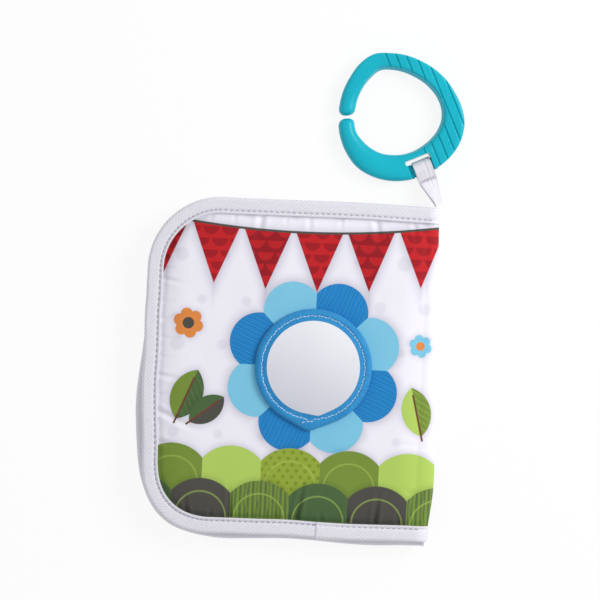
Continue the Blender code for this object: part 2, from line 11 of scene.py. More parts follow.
import bpy
import numpy as np
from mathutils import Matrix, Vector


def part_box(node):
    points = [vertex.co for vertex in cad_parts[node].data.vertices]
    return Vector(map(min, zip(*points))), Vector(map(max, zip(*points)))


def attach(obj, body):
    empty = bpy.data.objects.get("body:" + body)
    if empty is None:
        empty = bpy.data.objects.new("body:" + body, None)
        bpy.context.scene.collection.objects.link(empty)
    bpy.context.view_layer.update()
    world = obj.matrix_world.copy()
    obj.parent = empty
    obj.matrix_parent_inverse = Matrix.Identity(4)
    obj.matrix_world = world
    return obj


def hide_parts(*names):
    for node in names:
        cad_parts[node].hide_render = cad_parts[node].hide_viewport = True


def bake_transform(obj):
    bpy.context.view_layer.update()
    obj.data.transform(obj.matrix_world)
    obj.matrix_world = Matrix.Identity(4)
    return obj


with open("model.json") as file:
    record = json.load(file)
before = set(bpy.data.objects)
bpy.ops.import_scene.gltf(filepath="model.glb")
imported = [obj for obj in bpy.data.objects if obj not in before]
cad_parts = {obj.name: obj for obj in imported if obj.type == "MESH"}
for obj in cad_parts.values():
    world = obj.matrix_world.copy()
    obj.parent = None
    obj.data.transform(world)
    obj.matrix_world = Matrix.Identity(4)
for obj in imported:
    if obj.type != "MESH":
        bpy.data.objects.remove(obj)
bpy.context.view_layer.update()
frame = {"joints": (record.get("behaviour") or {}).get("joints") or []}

MM = 0.001
MM_IN_METRE = 1000.0
UVS_IN_METRE = 10
MM_IN_UV = 100.0
JOINTS = {joint["name"]: joint for joint in frame["joints"]}
SPINE_X, _, HINGE_Z = JOINTS["cover_open"]["pos_m"]

# Cloth covers
CORNER_RADIUS = 41 * MM
CLOTH = 0.6 * MM
CROWN = 2.4 * MM
CROWN_RUN = 13 * MM
CROWN_START = 9.6 * MM
NOSE_RUN = 9 * MM
NOSE_REACH = 8.7 * MM
NOSE_LIP = 1.2 * MM
PAD_INSET = 1.5 * MM
PAD_STEP = 0.72 * MM
SEAM_DIP = 0.55 * MM
SEAM_DIP_WIDTH = 1.5 * MM
RIPPLE = 0.22 * MM
RIPPLE_LENGTH = 10 * MM
MIRROR_DENT = 0.35 * MM
MIRROR_NEAR = 6 * MM
FREE_RUN = 5 * MM
FREE_AT_SEAM = 0.45
FREE_PAST_FOLD = 0.6
NOSE_STEPS = 15
NOSE_INSIDE_STEPS = 8
UNDER_STEPS = 9
LINING_START = 4.2 * MM
FILM_START = 5 * MM
FILM_CRUMPLE = 0.08 * MM
CRUMPLE_LENGTH = 4 * MM
SHEET_WAVE = 0.1 * MM
CREASE_BOW = 3 * MM
CREASE_START = 3
CREASE_FOLD = 0.45
CREASE_FOLD_OFF = 1.9

# Binding tape
TAPE_WIDTH = 9 * MM
TAPE_WALL = 1.2 * MM
TAPE_ROUND = 1.7 * MM
TAPE_START = 3.6 * MM
TAPE_END = 0.5 * MM
TAPE_CLOTH = 0.9 * MM
TAPE_CLOTH_SHARE = 0.45
TAPE_STEP = 0.4 * MM
TAPE_TURN_STEPS = 22
TAPE_LIP = 0.36 * MM
TAPE_LIP_IN = 0.65 * MM
TAPE_LIP_WIDTH = 0.5 * MM
TAPE_GROOVE = 0.75 * MM
TAPE_GROOVE_WIDTH = 0.55 * MM
TAPE_SWELL = 0.3 * MM
TAPE_SWELL_AT = 3.2 * MM
TAPE_SWELL_WIDTH = 3.4 * MM
TAPE_NOSE_PAST = 0.3 * MM
TAPE_LEAST = 1 * MM
TAPE_LIFT_RUN = 1.8 * MM
STITCH_LINE = 7.2 * MM
STITCH_PITCH = 3.2 * MM
STITCH_START = 4.4 * MM
STITCH_LENGTH = 2.4 * MM
STITCH_RADIUS = 0.24 * MM
STITCH_SUNK = 0.56
STITCH_PULL = 0.22
RIB_PITCH = 1.6 * MM
RIB_HEIGHT = 0.2 * MM
RIB_POWER = 1.4
RIBS_SHORT = 0.3 * MM
RIBS_FADE = 0.8 * MM
JOIN_X = 20 * MM
JOIN_STEP = 0.8 * MM
JOIN_FADE = 22 * MM

# How far the sewn leaves differ from their pattern, in millimetres at equal steps: the free edge drawn in,
# up from the foot, and the foot hanging out, from the free edge to the spine
EDGE_STEP = 12 * MM
FOOT_STEP = 17 * MM
END_RUN = 60 * MM
BACK_EDGE_DRAWN = (-0.8, 0.9, 2.2, 2.0, 0.6, -0.5, -1.1, -0.6, 0.6, 1.7, 2.4, 2.7)
BACK_FOOT_OUT = (0.2, 0.3, 0.3, 1.9, 1.2, 0.4, 0.7, 1.6, 1.9, 1.1, 0.7)
FRONT_EDGE_DRAWN = (0.3, 0.5, 0.9, 1.9, 1.8, 1.0, 0.3, -0.1, 0.2, 0.15, -0.15, 0.1)
FRONT_FOOT_OUT = (1.5, 2.2, 1.0, 0.6, 0.4, 0.1, 0.6, 0.8, 0.5, 0.2, 0.4)
TOP_OUT = (0.0, 0.2, 0.4, 0.3, 0.5, 0.6, 0.8, 0.9, 0.6, 0.2, 0.1)
# The fold drawn in towards its top and foot, and moved out low down
FOLD_DRAWN_TOP = 2.8 * MM
FOLD_DRAWN_FOOT = 1.9 * MM
TOP_DRAWN_FROM = 20 * MM
TOP_DRAWN_OVER = 75 * MM
FOOT_DRAWN_FROM = 62 * MM
FOOT_DRAWN_OVER = 30 * MM
FOLD_WIDTH = 14 * MM
FOLD_OUT = 1.5 * MM
FOLD_OUT_AT = -58 * MM
FOLD_OUT_OVER = 32 * MM

# Page
PAGE_ROUND = 1.5 * MM
PAGE_INSET = 1.2 * MM
PAGE_STUB = 3.2 * MM
PAGE_START = 4.5 * MM
PAGE_TAPE_STEP = 1.6 * TAPE_STEP
PAGE_CRUMPLE = 0.06 * MM
SHEET_STEP = 1.6 * MM

# Spine strips
SPINE_STEPS = 41
SPINE_STEP = 0.45 * MM
SPINE_LAP = 1 * MM
SPINE_TUCK = 0.45 * MM
SPINE_TUCK_FROM = 0.8
SPINE_EDGE = 0.6 * MM
SPINE_WAVE = 0.12 * MM
SPINE_WAVE_LENGTH = 5 * MM
SPINE_CLOTH_IN = 0.1 * MM
SPINE_CLOTH_RISE = 2.2 * MM
SPINE_TAPE_OUT = 0.4 * MM
SPINE_TAPE_RISE = 3.6 * MM
SPINE_PRINT_X = 85.0

# Mirror
MIRROR_TIP_ANGLE = math.radians(-92.4)
VIEW_TIP_ANGLE = math.radians(-81)
MIRROR_RADIUS = 32.5 * MM
MIRROR_TIP_PAST = 3.5 * MM
FRAME_WIDTH = 6.4 * MM
VIEW_TIP_PAST = 1.4 * MM
FRAME_LIP = 5 * MM
FRAME_CLOTH = 0.5 * MM
FRAME_SWELL = 0.55 * MM
FRAME_FALL = 1.3 * MM
FRAME_WALL = 1 * MM
FRAME_SEAM = 28.9 * MM
FRAME_SEAM_WIDTH = 0.5 * MM
FRAME_SEAM_DEPTH = 0.25 * MM
FRAME_SIDE = 0.25 * MM
FRAME_STEPS = 720
FRAME_FACE_STEPS = 27
FRAME_SIDE_STEPS = 15
GATHER = 0.09 * MM
GATHER_LEAST = 0.35
GATHER_FROM = 0.45
TIP_BLUNT = 0.03
FRAME_STITCHES = 88
FRAME_STITCHES_START = math.radians(7)
FRAME_STITCHES_OVER = math.radians(352)
FRAME_STITCH_WANDER = 0.2 * MM
FRAME_STITCH_LEAN = math.radians(7)
FRAME_STITCH_UNEVEN = math.radians(8)
FRAME_STITCH_SUNK = 0.5 * MM
FRAME_STITCH_LENGTH = 1.8 * MM
FRAME_STITCH_RADIUS = 0.19 * MM
# The thread's crossed ends beside the frame's tip, from the mirror's middle in millimetres, and their ways
THREAD_ENDS = ((-1.4, -30.3), (-4.2, -30.9), (-2.6, -29.2), (0.4, -30.2))
THREAD_END_WAYS = ((1, 0.25, 0), (0.9, 0.5, 0), (0.8, -0.7, 0), (1, 0.1, 0))
THREAD_ENDS_PROUD = 0.1 * MM
DISC_STEPS = 61
MIRROR_BOW = 0.25 * MM

# Clip ring
RING_RADIUS = 36 * MM
HOLE_RADIUS = 24 * MM
BAR_RADIUS = 3.7 * MM
BAR_OFFSET = 33.3 * MM
RIBBON_ALONG_BAR = 1.65 * MM
SLOT_LEFT = 7 * MM
SLOT_RIGHT = 7.7 * MM
SLOT_REACH = 6.5 * MM
SLOT_FOOT = 3.8 * MM
SLOT_ROUND = 1.5 * MM
NOTCH_LEFT = 4.7 * MM
NOTCH_RUN = 2 * MM
NOTCH_DIP = 0.8
NECK_HEIGHT = 1.5 * MM
NECK_SUNK = 1.4 * MM
NECK_STEP = 0.4 * MM
BAR_SIDES = 40
CLIP_GAP = 1.6 * MM
CLIP_GAP_ANGLE = math.radians(161.4)
CLIP_END_ROUND = 4.2 * MM
CLIP_END_POWER = 2.4
RING_STATIONS = 560
RING_SIDES = 128
RING_DENSER = 2.2
GROOVE_COUNT = 6
GROOVE_START = 5.8 * MM
GROOVE_PITCH = 5.2 * MM
GROOVE_WIDTH = 0.8 * MM
GROOVE_DEPTH = 0.75 * MM
GROOVE_SOFT = 0.2 * MM
GROOVE_LEVEL = 0.66
GROOVE_LEVEL_RUN = 0.2
# The rim and the hole as shares of their radii, every 15 degrees from the ring's own +X
RIM_SHARES = (
    0.946, 0.92, 0.902, 0.902, 0.924, 0.958, 1.008, 0.99, 0.952, 0.937, 0.932, 0.948,
    0.981, 1.02, 1.058, 1.065, 1.061, 1.054, 1.046, 1.05, 1.066, 1.071, 1.052, 0.998,
)
HOLE_SHARES = (
    0.995, 0.965, 0.952, 0.955, 0.99, 1.045, 1.105, 1.065, 1.03, 1.014, 1.01, 1.035,
    1.07, 1.048, 1.028, 1.008, 0.975, 0.957, 0.946, 0.944, 0.965, 1.0, 1.026, 1.022,
)
PLAIN_POWER = 2.3
RIBBED_POWER = 7
INNER_SLANT = 1.7 * MM
RIBBED_MIDDLE = math.radians(10)

# Ribbon
RIBBON_WIDTH = 10.4 * MM
RIBBON = 0.6 * MM
RIBBON_SLIT = 0.5 * MM
RIBBON_STITCH = 7.2 * MM
RIBBON_TWIST = math.radians(65)
RIBBON_PRESSED = 0.5
RIBBON_FOLD = 0.3 * MM
RIBBON_FOLD_AT = 1.4 * MM
RIBBON_FOLD_WIDTH = 0.5 * MM
RIBBON_PRESSED_RUN = 4 * MM
RIBBON_EYE_STEPS = 36
RIBBON_EASE_STEPS = 16
RIBBON_ACROSS_STEPS = 41
RIBBON_WRINKLE = 0.11 * MM
RIBBON_WRINKLE_RUN = 3 * MM
RIBBON_WAVE = 0.06 * MM
RIBBON_SEAM = 0.1 * MM
RIBBON_SEAM_RUN = 0.7 * MM
SELVEDGE = 0.1 * MM
SELVEDGE_FROM = 4.3 * MM
SELVEDGE_RUN = 0.5 * MM
TACK_ROWS = 2
TACK_STITCHES = 11
TACK_WIDTH = 0.84
TACK_ROW_PITCH = 0.9 * MM
TACK_SHIFT = 0.1 * MM
TACK_UNEVEN = 0.25 * MM
TACK_PROUD = 0.05 * MM
TACK_LEANS = (-0.35, 0.55)
TACK_LENGTH = 1.15 * MM
TACK_RADIUS = 0.17 * MM
TWIST_START = 8 * MM
TWIST_END = 22 * MM
EYE_PLAY = 0.35 * MM
RIBBON_STEP = 0.25 * MM


def leaf_outline(binding, side):
    """A leaf's size from its tape's box: width from the crease, top and foot, and its side of the plane."""
    low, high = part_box(binding)
    drawn, out = (FRONT_EDGE_DRAWN, FRONT_FOOT_OUT) if side > 0 else (BACK_EDGE_DRAWN, BACK_FOOT_OUT)
    return {"width": SPINE_X - low.x, "top": high.y, "foot": low.y, "side": side, "drawn": drawn, "out": out}


def heights(node):
    """How low and how high a node of the upper leaves lies above the book's middle plane."""
    low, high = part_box(node)
    return low.z - HINGE_Z, high.z - HINGE_Z


FRONT = leaf_outline("front_cover_binding", 1)
BACK = leaf_outline("back_cover_binding", -1)
PAGE = leaf_outline("page_binding", 1)
COVER_BOTTOM, TAPE_TOP = heights("front_cover_binding")
LINING = heights("front_cover_lining")
COVER_FILM = heights("front_cover_crinkle_film")
PAD_BOTTOM = heights("front_cover_wadding")[0]
CLOTH_TOP = heights("front_cover_cloth")[1] - CROWN
PAGE_CLOTH = heights("page_front_cloth")
PAGE_FILM = heights("page_crinkle_film")
PAGE_TAPE_TOP = heights("page_binding")[1]


# Meshes

def smooth_step(value):
    """0 below 0, 1 above 1, and the cubic 3t^2 - 2t^3 between them."""
    t = np.clip(value, 0, 1)
    return t * t * (3 - 2 * t)


def through(values, place, closed=False):
    """A Catmull-Rom curve through equally spaced values, held at its ends or closed round."""
    values, last = np.asarray(values), len(values) - 1
    if not closed:
        place = np.clip(place, 0, last)
    first = np.floor(place).astype(int)
    t = place - first
    steps = [first + step for step in (-1, 0, 1, 2)]
    p0, p1, p2, p3 = (values[step % len(values) if closed else np.clip(step, 0, last)] for step in steps)
    return p1 + t / 2 * (p2 - p0 + t * (2 * p0 - 5 * p1 + 4 * p2 - p3 + t * (3 * (p1 - p2) + p3 - p0)))


def loft(sections, closed=False):
    """Vertices and faces of a tube through an array of closed sections, looped or with flat ends."""
    stations, points = sections.shape[:2]
    index = np.arange(stations * points).reshape(stations, points)
    rows = np.concatenate([index, index[:1]]) if closed else index
    beside = np.roll(rows, -1, axis=1)
    quads = np.stack([rows[:-1], beside[:-1], beside[1:], rows[1:]], 2).reshape(-1, 4)
    caps = [] if closed else [index[0, ::-1].tolist(), index[-1].tolist()]
    return sections.reshape(-1, 3), quads.tolist() + caps


def sheet_between(lower, upper):
    """Vertices and faces of the closed solid between two grids of as many rows and columns."""
    rows, columns = lower.shape[:2]
    count = rows * columns
    index = np.arange(count).reshape(rows, columns)
    quads = np.stack([index[:-1, :-1], index[:-1, 1:], index[1:, 1:], index[1:, :-1]], 2).reshape(-1, 4)
    rim = np.concatenate([index[0, :-1], index[:-1, -1], index[-1, :0:-1], index[:0:-1, 0]])
    after = np.roll(rim, -1)
    walls = np.stack([rim + count, after + count, after, rim], 1)
    faces = np.concatenate([quads, quads[:, ::-1] + count, walls])
    return np.concatenate([lower.reshape(-1, 3), upper.reshape(-1, 3)]), faces.tolist()


def is_inside_out(vertices, faces):
    """True if the solid's volume, summed over fans of triangles from each face's first corner, is below 0."""
    first = np.concatenate([[face[0]] * (len(face) - 2) for face in faces])
    second = np.concatenate([face[1:-1] for face in faces])
    third = np.concatenate([face[2:] for face in faces])
    centred = vertices - vertices.mean(0)
    return np.einsum("ij,ij", centred[first], np.cross(centred[second], centred[third])) < 0


def add_piece(name, shape, look, uvs=None, sharp=50):
    """A mesh object at the origin, with smooth faces that point outwards and edges sharp past an angle."""
    vertices, faces = shape
    if is_inside_out(vertices, faces):
        faces = [face[::-1] for face in faces]
    mesh = bpy.data.meshes.new(name)
    mesh.from_pydata(vertices.tolist(), [], faces)
    if uvs is not None:
        corners = np.empty(len(mesh.loops), int)
        mesh.loops.foreach_get("vertex_index", corners)
        layer = mesh.uv_layers.new(name="cloth")
        layer.data.foreach_set("uv", np.asarray(uvs, np.float32).reshape(-1, 2)[corners].ravel())
    mesh.shade_smooth()
    mesh.set_sharp_from_angle(angle=math.radians(sharp))
    mesh.materials.append(look)
    piece = bpy.data.objects.new(name, mesh)
    bpy.context.scene.collection.objects.link(piece)
    return piece


def fit(piece, body, slot, *nodes):
    """The piece rides on a body and stands for the nodes, which are hidden. The slot is not used."""
    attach(piece, body)
    if nodes:
        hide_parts(*nodes)
    return piece


def settle(leaf, u, y):
    """Where the sewn cloth ends up: the free edge, top and foot a little uneven, and the fold drawn in
    towards both its ends. Low down the front's fold bulges out and the back's gives way by as much. Each
    move fades out with the square or the cubic of the distance from its edge."""
    along_foot = (leaf["width"] - u) / FOOT_STEP
    drawn = through(leaf["drawn"], (y - leaf["foot"]) / EDGE_STEP) * smooth_step(2 * u / leaf["width"] - 1)
    out = through(leaf["out"], along_foot) * smooth_step(-y / END_RUN - 0.5)
    up = through(TOP_OUT, along_foot) * smooth_step(y / END_RUN - 0.5)
    fold = FOLD_DRAWN_TOP * smooth_step((y - TOP_DRAWN_FROM) / TOP_DRAWN_OVER)
    fold = fold + FOLD_DRAWN_FOOT * smooth_step((-y - FOOT_DRAWN_FROM) / FOOT_DRAWN_OVER)
    fold = fold - leaf["side"] * FOLD_OUT * np.exp(-(((y - FOLD_OUT_AT) / FOLD_OUT_OVER) ** 2))
    near_fold = np.clip(1 - u / FOLD_WIDTH, 0, 1) ** 2
    return u - drawn * MM + fold * near_fold, y - out * MM + up * MM


def in_book(leaf, u, y, h):
    """Points of the spine's frame in the model's frame."""
    u, y, h = np.broadcast_arrays(u, y, h)
    u, y = settle(leaf, u, y)
    return np.stack([SPINE_X - u, y, HINGE_Z + leaf["side"] * h], -1)


def grains(centres, along, length, radius):
    """One mesh of many stitches: the curve r = (1 - t^4)^(1/2) turned about each stitch's own direction."""
    t = np.array([-0.97, -0.7, 0, 0.7, 0.97])
    turns = np.linspace(0, math.tau, 6, endpoint=False)
    swell = np.sqrt(1 - t**4)[:, None]
    local = np.stack(np.broadcast_arrays(t[:, None], swell * np.cos(turns), swell * np.sin(turns)), -1)
    along = along / np.linalg.norm(along, axis=1, keepdims=True)
    side = np.cross([0.0, 0.0, 1.0], along)
    side /= np.linalg.norm(side, axis=1, keepdims=True)
    axes = np.stack([along * length / 2, side * radius, np.cross(along, side) * radius], 1)
    vertices = centres[:, None] + local.reshape(-1, 3) @ axes
    _, faces = loft(local)
    count = local.shape[0] * local.shape[1]
    many = [[corner + count * number for corner in face] for number in range(len(centres)) for face in faces]
    return vertices.reshape(-1, 3), many


# Cloth covers

def edge_rows(leaf, inset, step):
    """(u, y) down the free edge, drawn in: a quarter circle, a straight and a quarter circle."""
    radius = CORNER_RADIUS - inset
    centre_u = leaf["width"] - CORNER_RADIUS
    turns = np.linspace(0, math.pi / 2, int(radius * math.pi / 2 / step) + 1)
    high, low = leaf["top"] - CORNER_RADIUS, leaf["foot"] + CORNER_RADIUS
    side = np.linspace(high, low, int((high - low) / step) + 1)[1:-1]
    u = np.concatenate([np.sin(turns), np.ones(len(side)), np.sin(turns[::-1])]) * radius + centre_u
    y = np.concatenate([high + radius * np.cos(turns), side, low - radius * np.cos(turns[::-1])])
    return u[:, None], y[:, None]


def from_edge(leaf, u, y):
    """Distance in from the bound edge: beside straight sides, or from the corner's circle."""
    past_u = u - (leaf["width"] - CORNER_RADIUS)
    past_y = np.maximum(y - leaf["top"], leaf["foot"] - y) + CORNER_RADIUS
    round_in = CORNER_RADIUS - np.hypot(np.maximum(past_u, 0), np.maximum(past_y, 0))
    return np.where((past_u > 0) & (past_y > 0), round_in, CORNER_RADIUS - np.maximum(past_u, past_y))


# Creases pulled in by the seams, in millimetres of the cover: where each starts, the way it runs in
# degrees, how far it runs, and how deep and how wide it is
FRONT_CREASES = (
    (-72.6, 64, -4, 11, 0.8, 1.3), (-72.6, 54, 3, 8, 0.4, 1.0), (-72.6, 48, -8, 14, 0.85, 1.2),
    (-72.6, 35, 6, 9, 0.45, 1.1), (-72.6, 24.5, 16, 30, 1.1, 1.4), (-72.6, 15, -2, 12, 0.5, 1.2),
    (-72.6, 4, 5, 9, 0.4, 1.0), (-72.6, -6, -9, 17, 0.9, 1.3), (-72.6, -17, 4, 9, 0.4, 1.1),
    (-72.6, -26, -24, 30, 1.2, 1.6), (-72.6, -43, -8, 14, 0.7, 1.4), (-70, -62, 32, 12, 0.5, 1.2),
    (-53.1, -83.6, 98, 16, 1.5, 1.3), (-40, -83.6, 86, 9, 0.6, 1.2), (-29, -83.6, 92, 23, 1.6, 1.3),
    (-16, -83.6, 88, 9, 0.6, 1.2), (-3.4, -83.6, 92, 14, 1.1, 1.2), (8.8, -83.6, 84, 28, 1.8, 1.3),
    (22.5, -83.6, 94, 9, 0.6, 1.2), (37, -83.6, 88, 12, 0.8, 1.2), (52.6, -83.6, 86, 23, 1.6, 1.3),
    (65.7, -83.6, 98, 11, 0.8, 1.2), (-47, 86, -94, 8, 0.4, 1.2), (-34, 86, -88, 9, 0.45, 1.1),
    (-18.7, 86, -97, 18, 1.1, 1.7), (-5, 86, -90, 8, 0.4, 1.1), (8, 86, -84, 14, 0.6, 1.4),
    (26, 86, -92, 9, 0.45, 1.1), (45.5, 86, -80, 18, 1.0, 1.6), (66.8, 86, -84, 16, 0.65, 1.4),
    (77, -40, 172, 20, 0.4, 1.6), (77, 20, 186, 16, 0.35, 1.5), (76, -66, 168, 14, 0.4, 1.4),
)
BACK_CREASE_PITCH = 13 * MM
# Least value, spread and start of the scatter for the back's creases: turn, run, depth and width
BACK_CREASE_SCATTER = ((-8, 16, 0), (8, 14, 31), (0.3, 0.3, 57), (1, 0.5, 83))


def spread(number):
    """A fixed scatter of whole numbers over 0 to 1: the fraction of a large sine."""
    return (np.sin(number * 12.9898 + 4.137) * 4375.85453) % 1


def back_creases():
    """Creases square to the back cover's seam, at uneven steps along it, in the same form as the front's."""
    points, ways, _ = edge_run(BACK, NOSE_RUN, BACK_CREASE_PITCH)
    number = np.arange(len(points))
    starts = points + ways * TAPE_WIDTH
    scatter = [least + room * spread(number + start) for least, room, start in BACK_CREASE_SCATTER]
    scatter[0] += np.degrees(np.arctan2(ways[:, 1], -ways[:, 0]))
    return np.stack([(SPINE_X - starts[:, 0]) / MM, starts[:, 1] / MM, *scatter], 1)


def crease_height(x, y, creases):
    """Sum of valleys -d exp(-(v/w)^2), each with a lower fold beside it, that fade along their run."""
    total = np.zeros(np.broadcast(x, y).shape)
    for number, (start_x, start_y, heading, run, depth, width) in enumerate(creases):
        turn = math.radians(heading)
        right, up = x - start_x * MM, y - start_y * MM
        along = (right * math.cos(turn) + up * math.sin(turn)) / (run * MM)
        bow = (spread(number) - 0.5) * CREASE_BOW * along**2
        off = (up * math.cos(turn) - right * math.sin(turn) - bow) / (width * MM)
        fade = smooth_step(1 - along) * smooth_step(1 + along * CREASE_START)
        fold = CREASE_FOLD * np.exp(-((np.abs(off) - CREASE_FOLD_OFF) ** 2))
        total += depth * MM * fade * (fold - np.exp(-(off**2)))
    return total


def ripple(x, y):
    """Slow waves of film-backed cloth: products of sines of unlike lengths."""
    a, b = x / RIPPLE_LENGTH, y / RIPPLE_LENGTH
    first = np.sin(1.1 * a + 0.6 * b + 0.4) * np.sin(0.5 * a - 1.3 * b + 1.9)
    second = np.sin(2.3 * a - 1.2 * b + 2.2) * np.sin(1.7 * b + 0.9 * a)
    return RIPPLE * (first + 0.45 * second)


def cloth_height(leaf, u, y, creases):
    """The printed cloth over its padding: a crown 1 - (1 - t)^2 in from the tape and from the spine, less
    a dip along the seam, with ripples and creases on it."""
    x = SPINE_X - u
    inside = from_edge(leaf, u, y)
    from_tape = np.clip((inside - CROWN_START) / CROWN_RUN, 0, 1)
    from_spine = np.clip((u - NOSE_RUN) / CROWN_RUN, 0, 1)
    crown = (1 - (1 - from_tape) ** 2) * (1 - (1 - from_spine) ** 2)
    dip = SEAM_DIP * np.exp(-(((inside - TAPE_WIDTH - SEAM_DIP_WIDTH / 2) / SEAM_DIP_WIDTH) ** 2))
    free = smooth_step((inside - TAPE_WIDTH) / FREE_RUN + FREE_AT_SEAM)
    free = free * smooth_step(u / NOSE_RUN - FREE_PAST_FOLD)
    height = CLOTH_TOP + CROWN * crown - dip + free * crease_height(x, y, creases)
    if leaf is not FRONT:
        return height + free * np.minimum(ripple(x, y), RIPPLE / 2)
    low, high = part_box("mirror_film")
    off = np.hypot(x - (low.x + high.x) / 2, y - (low.y + high.y) / 2) - (high.x - low.x) / 2
    beside = np.exp(-((np.maximum(off, 0) / MIRROR_NEAR) ** 2))
    return height + free * (1 - beside) * ripple(x, y) - MIRROR_DENT * beside


def cover_pad(leaf, creases):
    """The padded cloth as one closed form: rows of a section that runs in over the crown, down the spine's
    quarter ellipse, back inside it and out along the flat underside."""
    edge_u, y = edge_rows(leaf, PAD_INSET, PAD_STEP)
    across = np.linspace(0, 1, int((leaf["width"] - NOSE_RUN) / PAD_STEP) + 1)
    top_u = edge_u + (NOSE_RUN - edge_u) * across
    top_h = cloth_height(leaf, top_u, y, creases)
    lip = math.acos(NOSE_LIP / CLOTH_TOP)
    inner_top = CLOTH_TOP - CLOTH
    out = np.linspace(0, lip, NOSE_STEPS)[1:]
    back = np.linspace(lip, math.acos(PAD_BOTTOM / inner_top), NOSE_INSIDE_STEPS)
    rows = len(y)
    bend = top_h[:, -1:] / CLOTH_TOP
    nose_u = np.tile(NOSE_RUN - NOSE_REACH * np.sin(out), (rows, 1))
    nose_h = CLOTH_TOP * np.cos(out) * bend
    inner_u = np.tile(NOSE_RUN - (NOSE_REACH - CLOTH) * np.sin(back), (rows, 1))
    inner_h = np.tile(inner_top * np.cos(back), (rows, 1))
    under_u = inner_u[:, -1:] + (edge_u - inner_u[:, -1:]) * np.linspace(0, 1, UNDER_STEPS)[1:]
    u = np.concatenate([top_u, nose_u, inner_u, under_u], 1)
    h = np.concatenate([top_h, nose_h, inner_h, np.full_like(under_u, PAD_BOTTOM)], 1)
    return loft(in_book(leaf, u, y, h))


def flat_sheet(leaf, inset, start, bottom, top, wave):
    """A thin sheet over the leaf's outline, both faces moved by the same wave of (x, y)."""
    edge_u, y = edge_rows(leaf, inset, SHEET_STEP)
    across = np.linspace(0, 1, int(leaf["width"] / SHEET_STEP))
    u = edge_u + (start - edge_u) * across
    moved = wave(SPINE_X - u, y)
    return sheet_between(in_book(leaf, u, y, bottom + moved), in_book(leaf, u, y, top + moved))


def cut_size(leaf, inset, start):
    """(width, length) and area of a sheet with the leaf's outline: a rectangle less its two corners."""
    width, length = leaf["width"] - inset - start, leaf["top"] - leaf["foot"] - 2 * inset
    return (width, length), width * length - (2 - math.pi / 2) * (CORNER_RADIUS - inset) ** 2


def soft_wave(x, y):
    """The ripple, made shallow for a sheet that lies between others."""
    return SHEET_WAVE * ripple(x, y) / RIPPLE


def crumpled(depth):
    """Crinkled film: folds, the absolute values of sines that run in several directions."""
    def wave(x, y):
        a, b = x / CRUMPLE_LENGTH, y / CRUMPLE_LENGTH
        folds = np.abs(np.sin(a + 1.7 * np.sin(0.6 * b))) + np.abs(np.sin(0.8 * b - 1.3 * np.sin(0.7 * a)))
        return depth * (folds + np.abs(np.sin(0.7 * (a + b)))) - depth
    return wave


# Binding tape

def edge_run(leaf, start, step):
    """Points, ways in and lengths along the bound edge: a circle of the corner's radius rolls along the
    top from start, down the free edge and back along the foot, and the path is its outermost point."""
    reach = leaf["width"] - CORNER_RADIUS - start
    arc = CORNER_RADIUS * math.pi / 2
    ends = np.cumsum([reach, arc, leaf["top"] - leaf["foot"] - 2 * CORNER_RADIUS, arc, reach])
    s = np.linspace(0, ends[-1], int(ends[-1] / step) + 1)
    turns = (np.clip((s - ends[0]) / arc, 0, 1) + np.clip((s - ends[2]) / arc, 0, 1)) * math.pi / 2
    outward = np.stack([np.sin(turns), np.cos(turns)], 1)
    u = start + np.minimum(s, ends[0]) - np.clip(s - ends[3], 0, None)
    y = leaf["top"] - CORNER_RADIUS - np.clip(s - ends[1], 0, ends[2] - ends[1])
    return np.stack([u, y], 1) + CORNER_RADIUS * outward, -outward, s


def tape_profile(rounding, step):
    """Across the tape, from its inner edge above, out round the folded edge and back to its inner edge
    below: distance in from the edge, height from -1 to 1, and the length gone."""
    flat = np.linspace(TAPE_WIDTH, rounding, int((TAPE_WIDTH - rounding) / step) + 1)
    turns = np.linspace(0, math.pi, TAPE_TURN_STEPS)[1:-1]
    inward = np.concatenate([flat, rounding * (1 - np.sin(turns)), flat[::-1]])
    level = np.concatenate([np.ones(len(flat)), np.cos(turns), -np.ones(len(flat))])
    return inward, level


def rib(s, q):
    """Ribs of the bias tape at 45 degrees: ridges 1 - |sin|^p of the distance across them."""
    return 1 - np.abs(np.sin(math.pi * (s + q) / (RIB_PITCH * math.sqrt(2)))) ** RIB_POWER


def mostly(wave):
    """A wave from -1 to 1 as a share that stays near 1."""
    return 0.6 + 0.4 * wave


def tape_relief(s, q, inward, join):
    """How far the tape stands proud: swollen middle, stitched groove, rolled inner edge, ribs and a join."""
    groove = np.exp(-(((inward - STITCH_LINE) / TAPE_GROOVE_WIDTH) ** 2))
    pull = 1 - STITCH_PULL - STITCH_PULL * np.cos(math.tau * s / STITCH_PITCH)
    lip = np.exp(-(((inward - TAPE_WIDTH + TAPE_LIP_IN) / TAPE_LIP_WIDTH) ** 2))
    middle = np.clip(1 - ((inward - TAPE_SWELL_AT) / TAPE_SWELL_WIDTH) ** 2, 0, 1)
    ribbed = smooth_step((STITCH_LINE - RIBS_SHORT - inward) / RIBS_FADE)
    slack = mostly(np.sin(s / (17 * MM)) * np.sin(s / (7.3 * MM) + 1))
    relief = TAPE_SWELL * middle * slack - TAPE_GROOVE * groove * pull + TAPE_LIP * lip
    uneven = mostly(np.sin(s / (3.1 * MM) + q / (1.7 * MM)) * np.sin(s / (5.3 * MM) - q / (2.9 * MM)))
    relief = relief + RIB_HEIGHT * ribbed * uneven * rib(s, q)
    if join is not None:
        past = (s - join) / JOIN_FADE
        relief = relief + JOIN_STEP * np.exp(-np.clip(past, 0, None)) * (past > 0)
    return relief


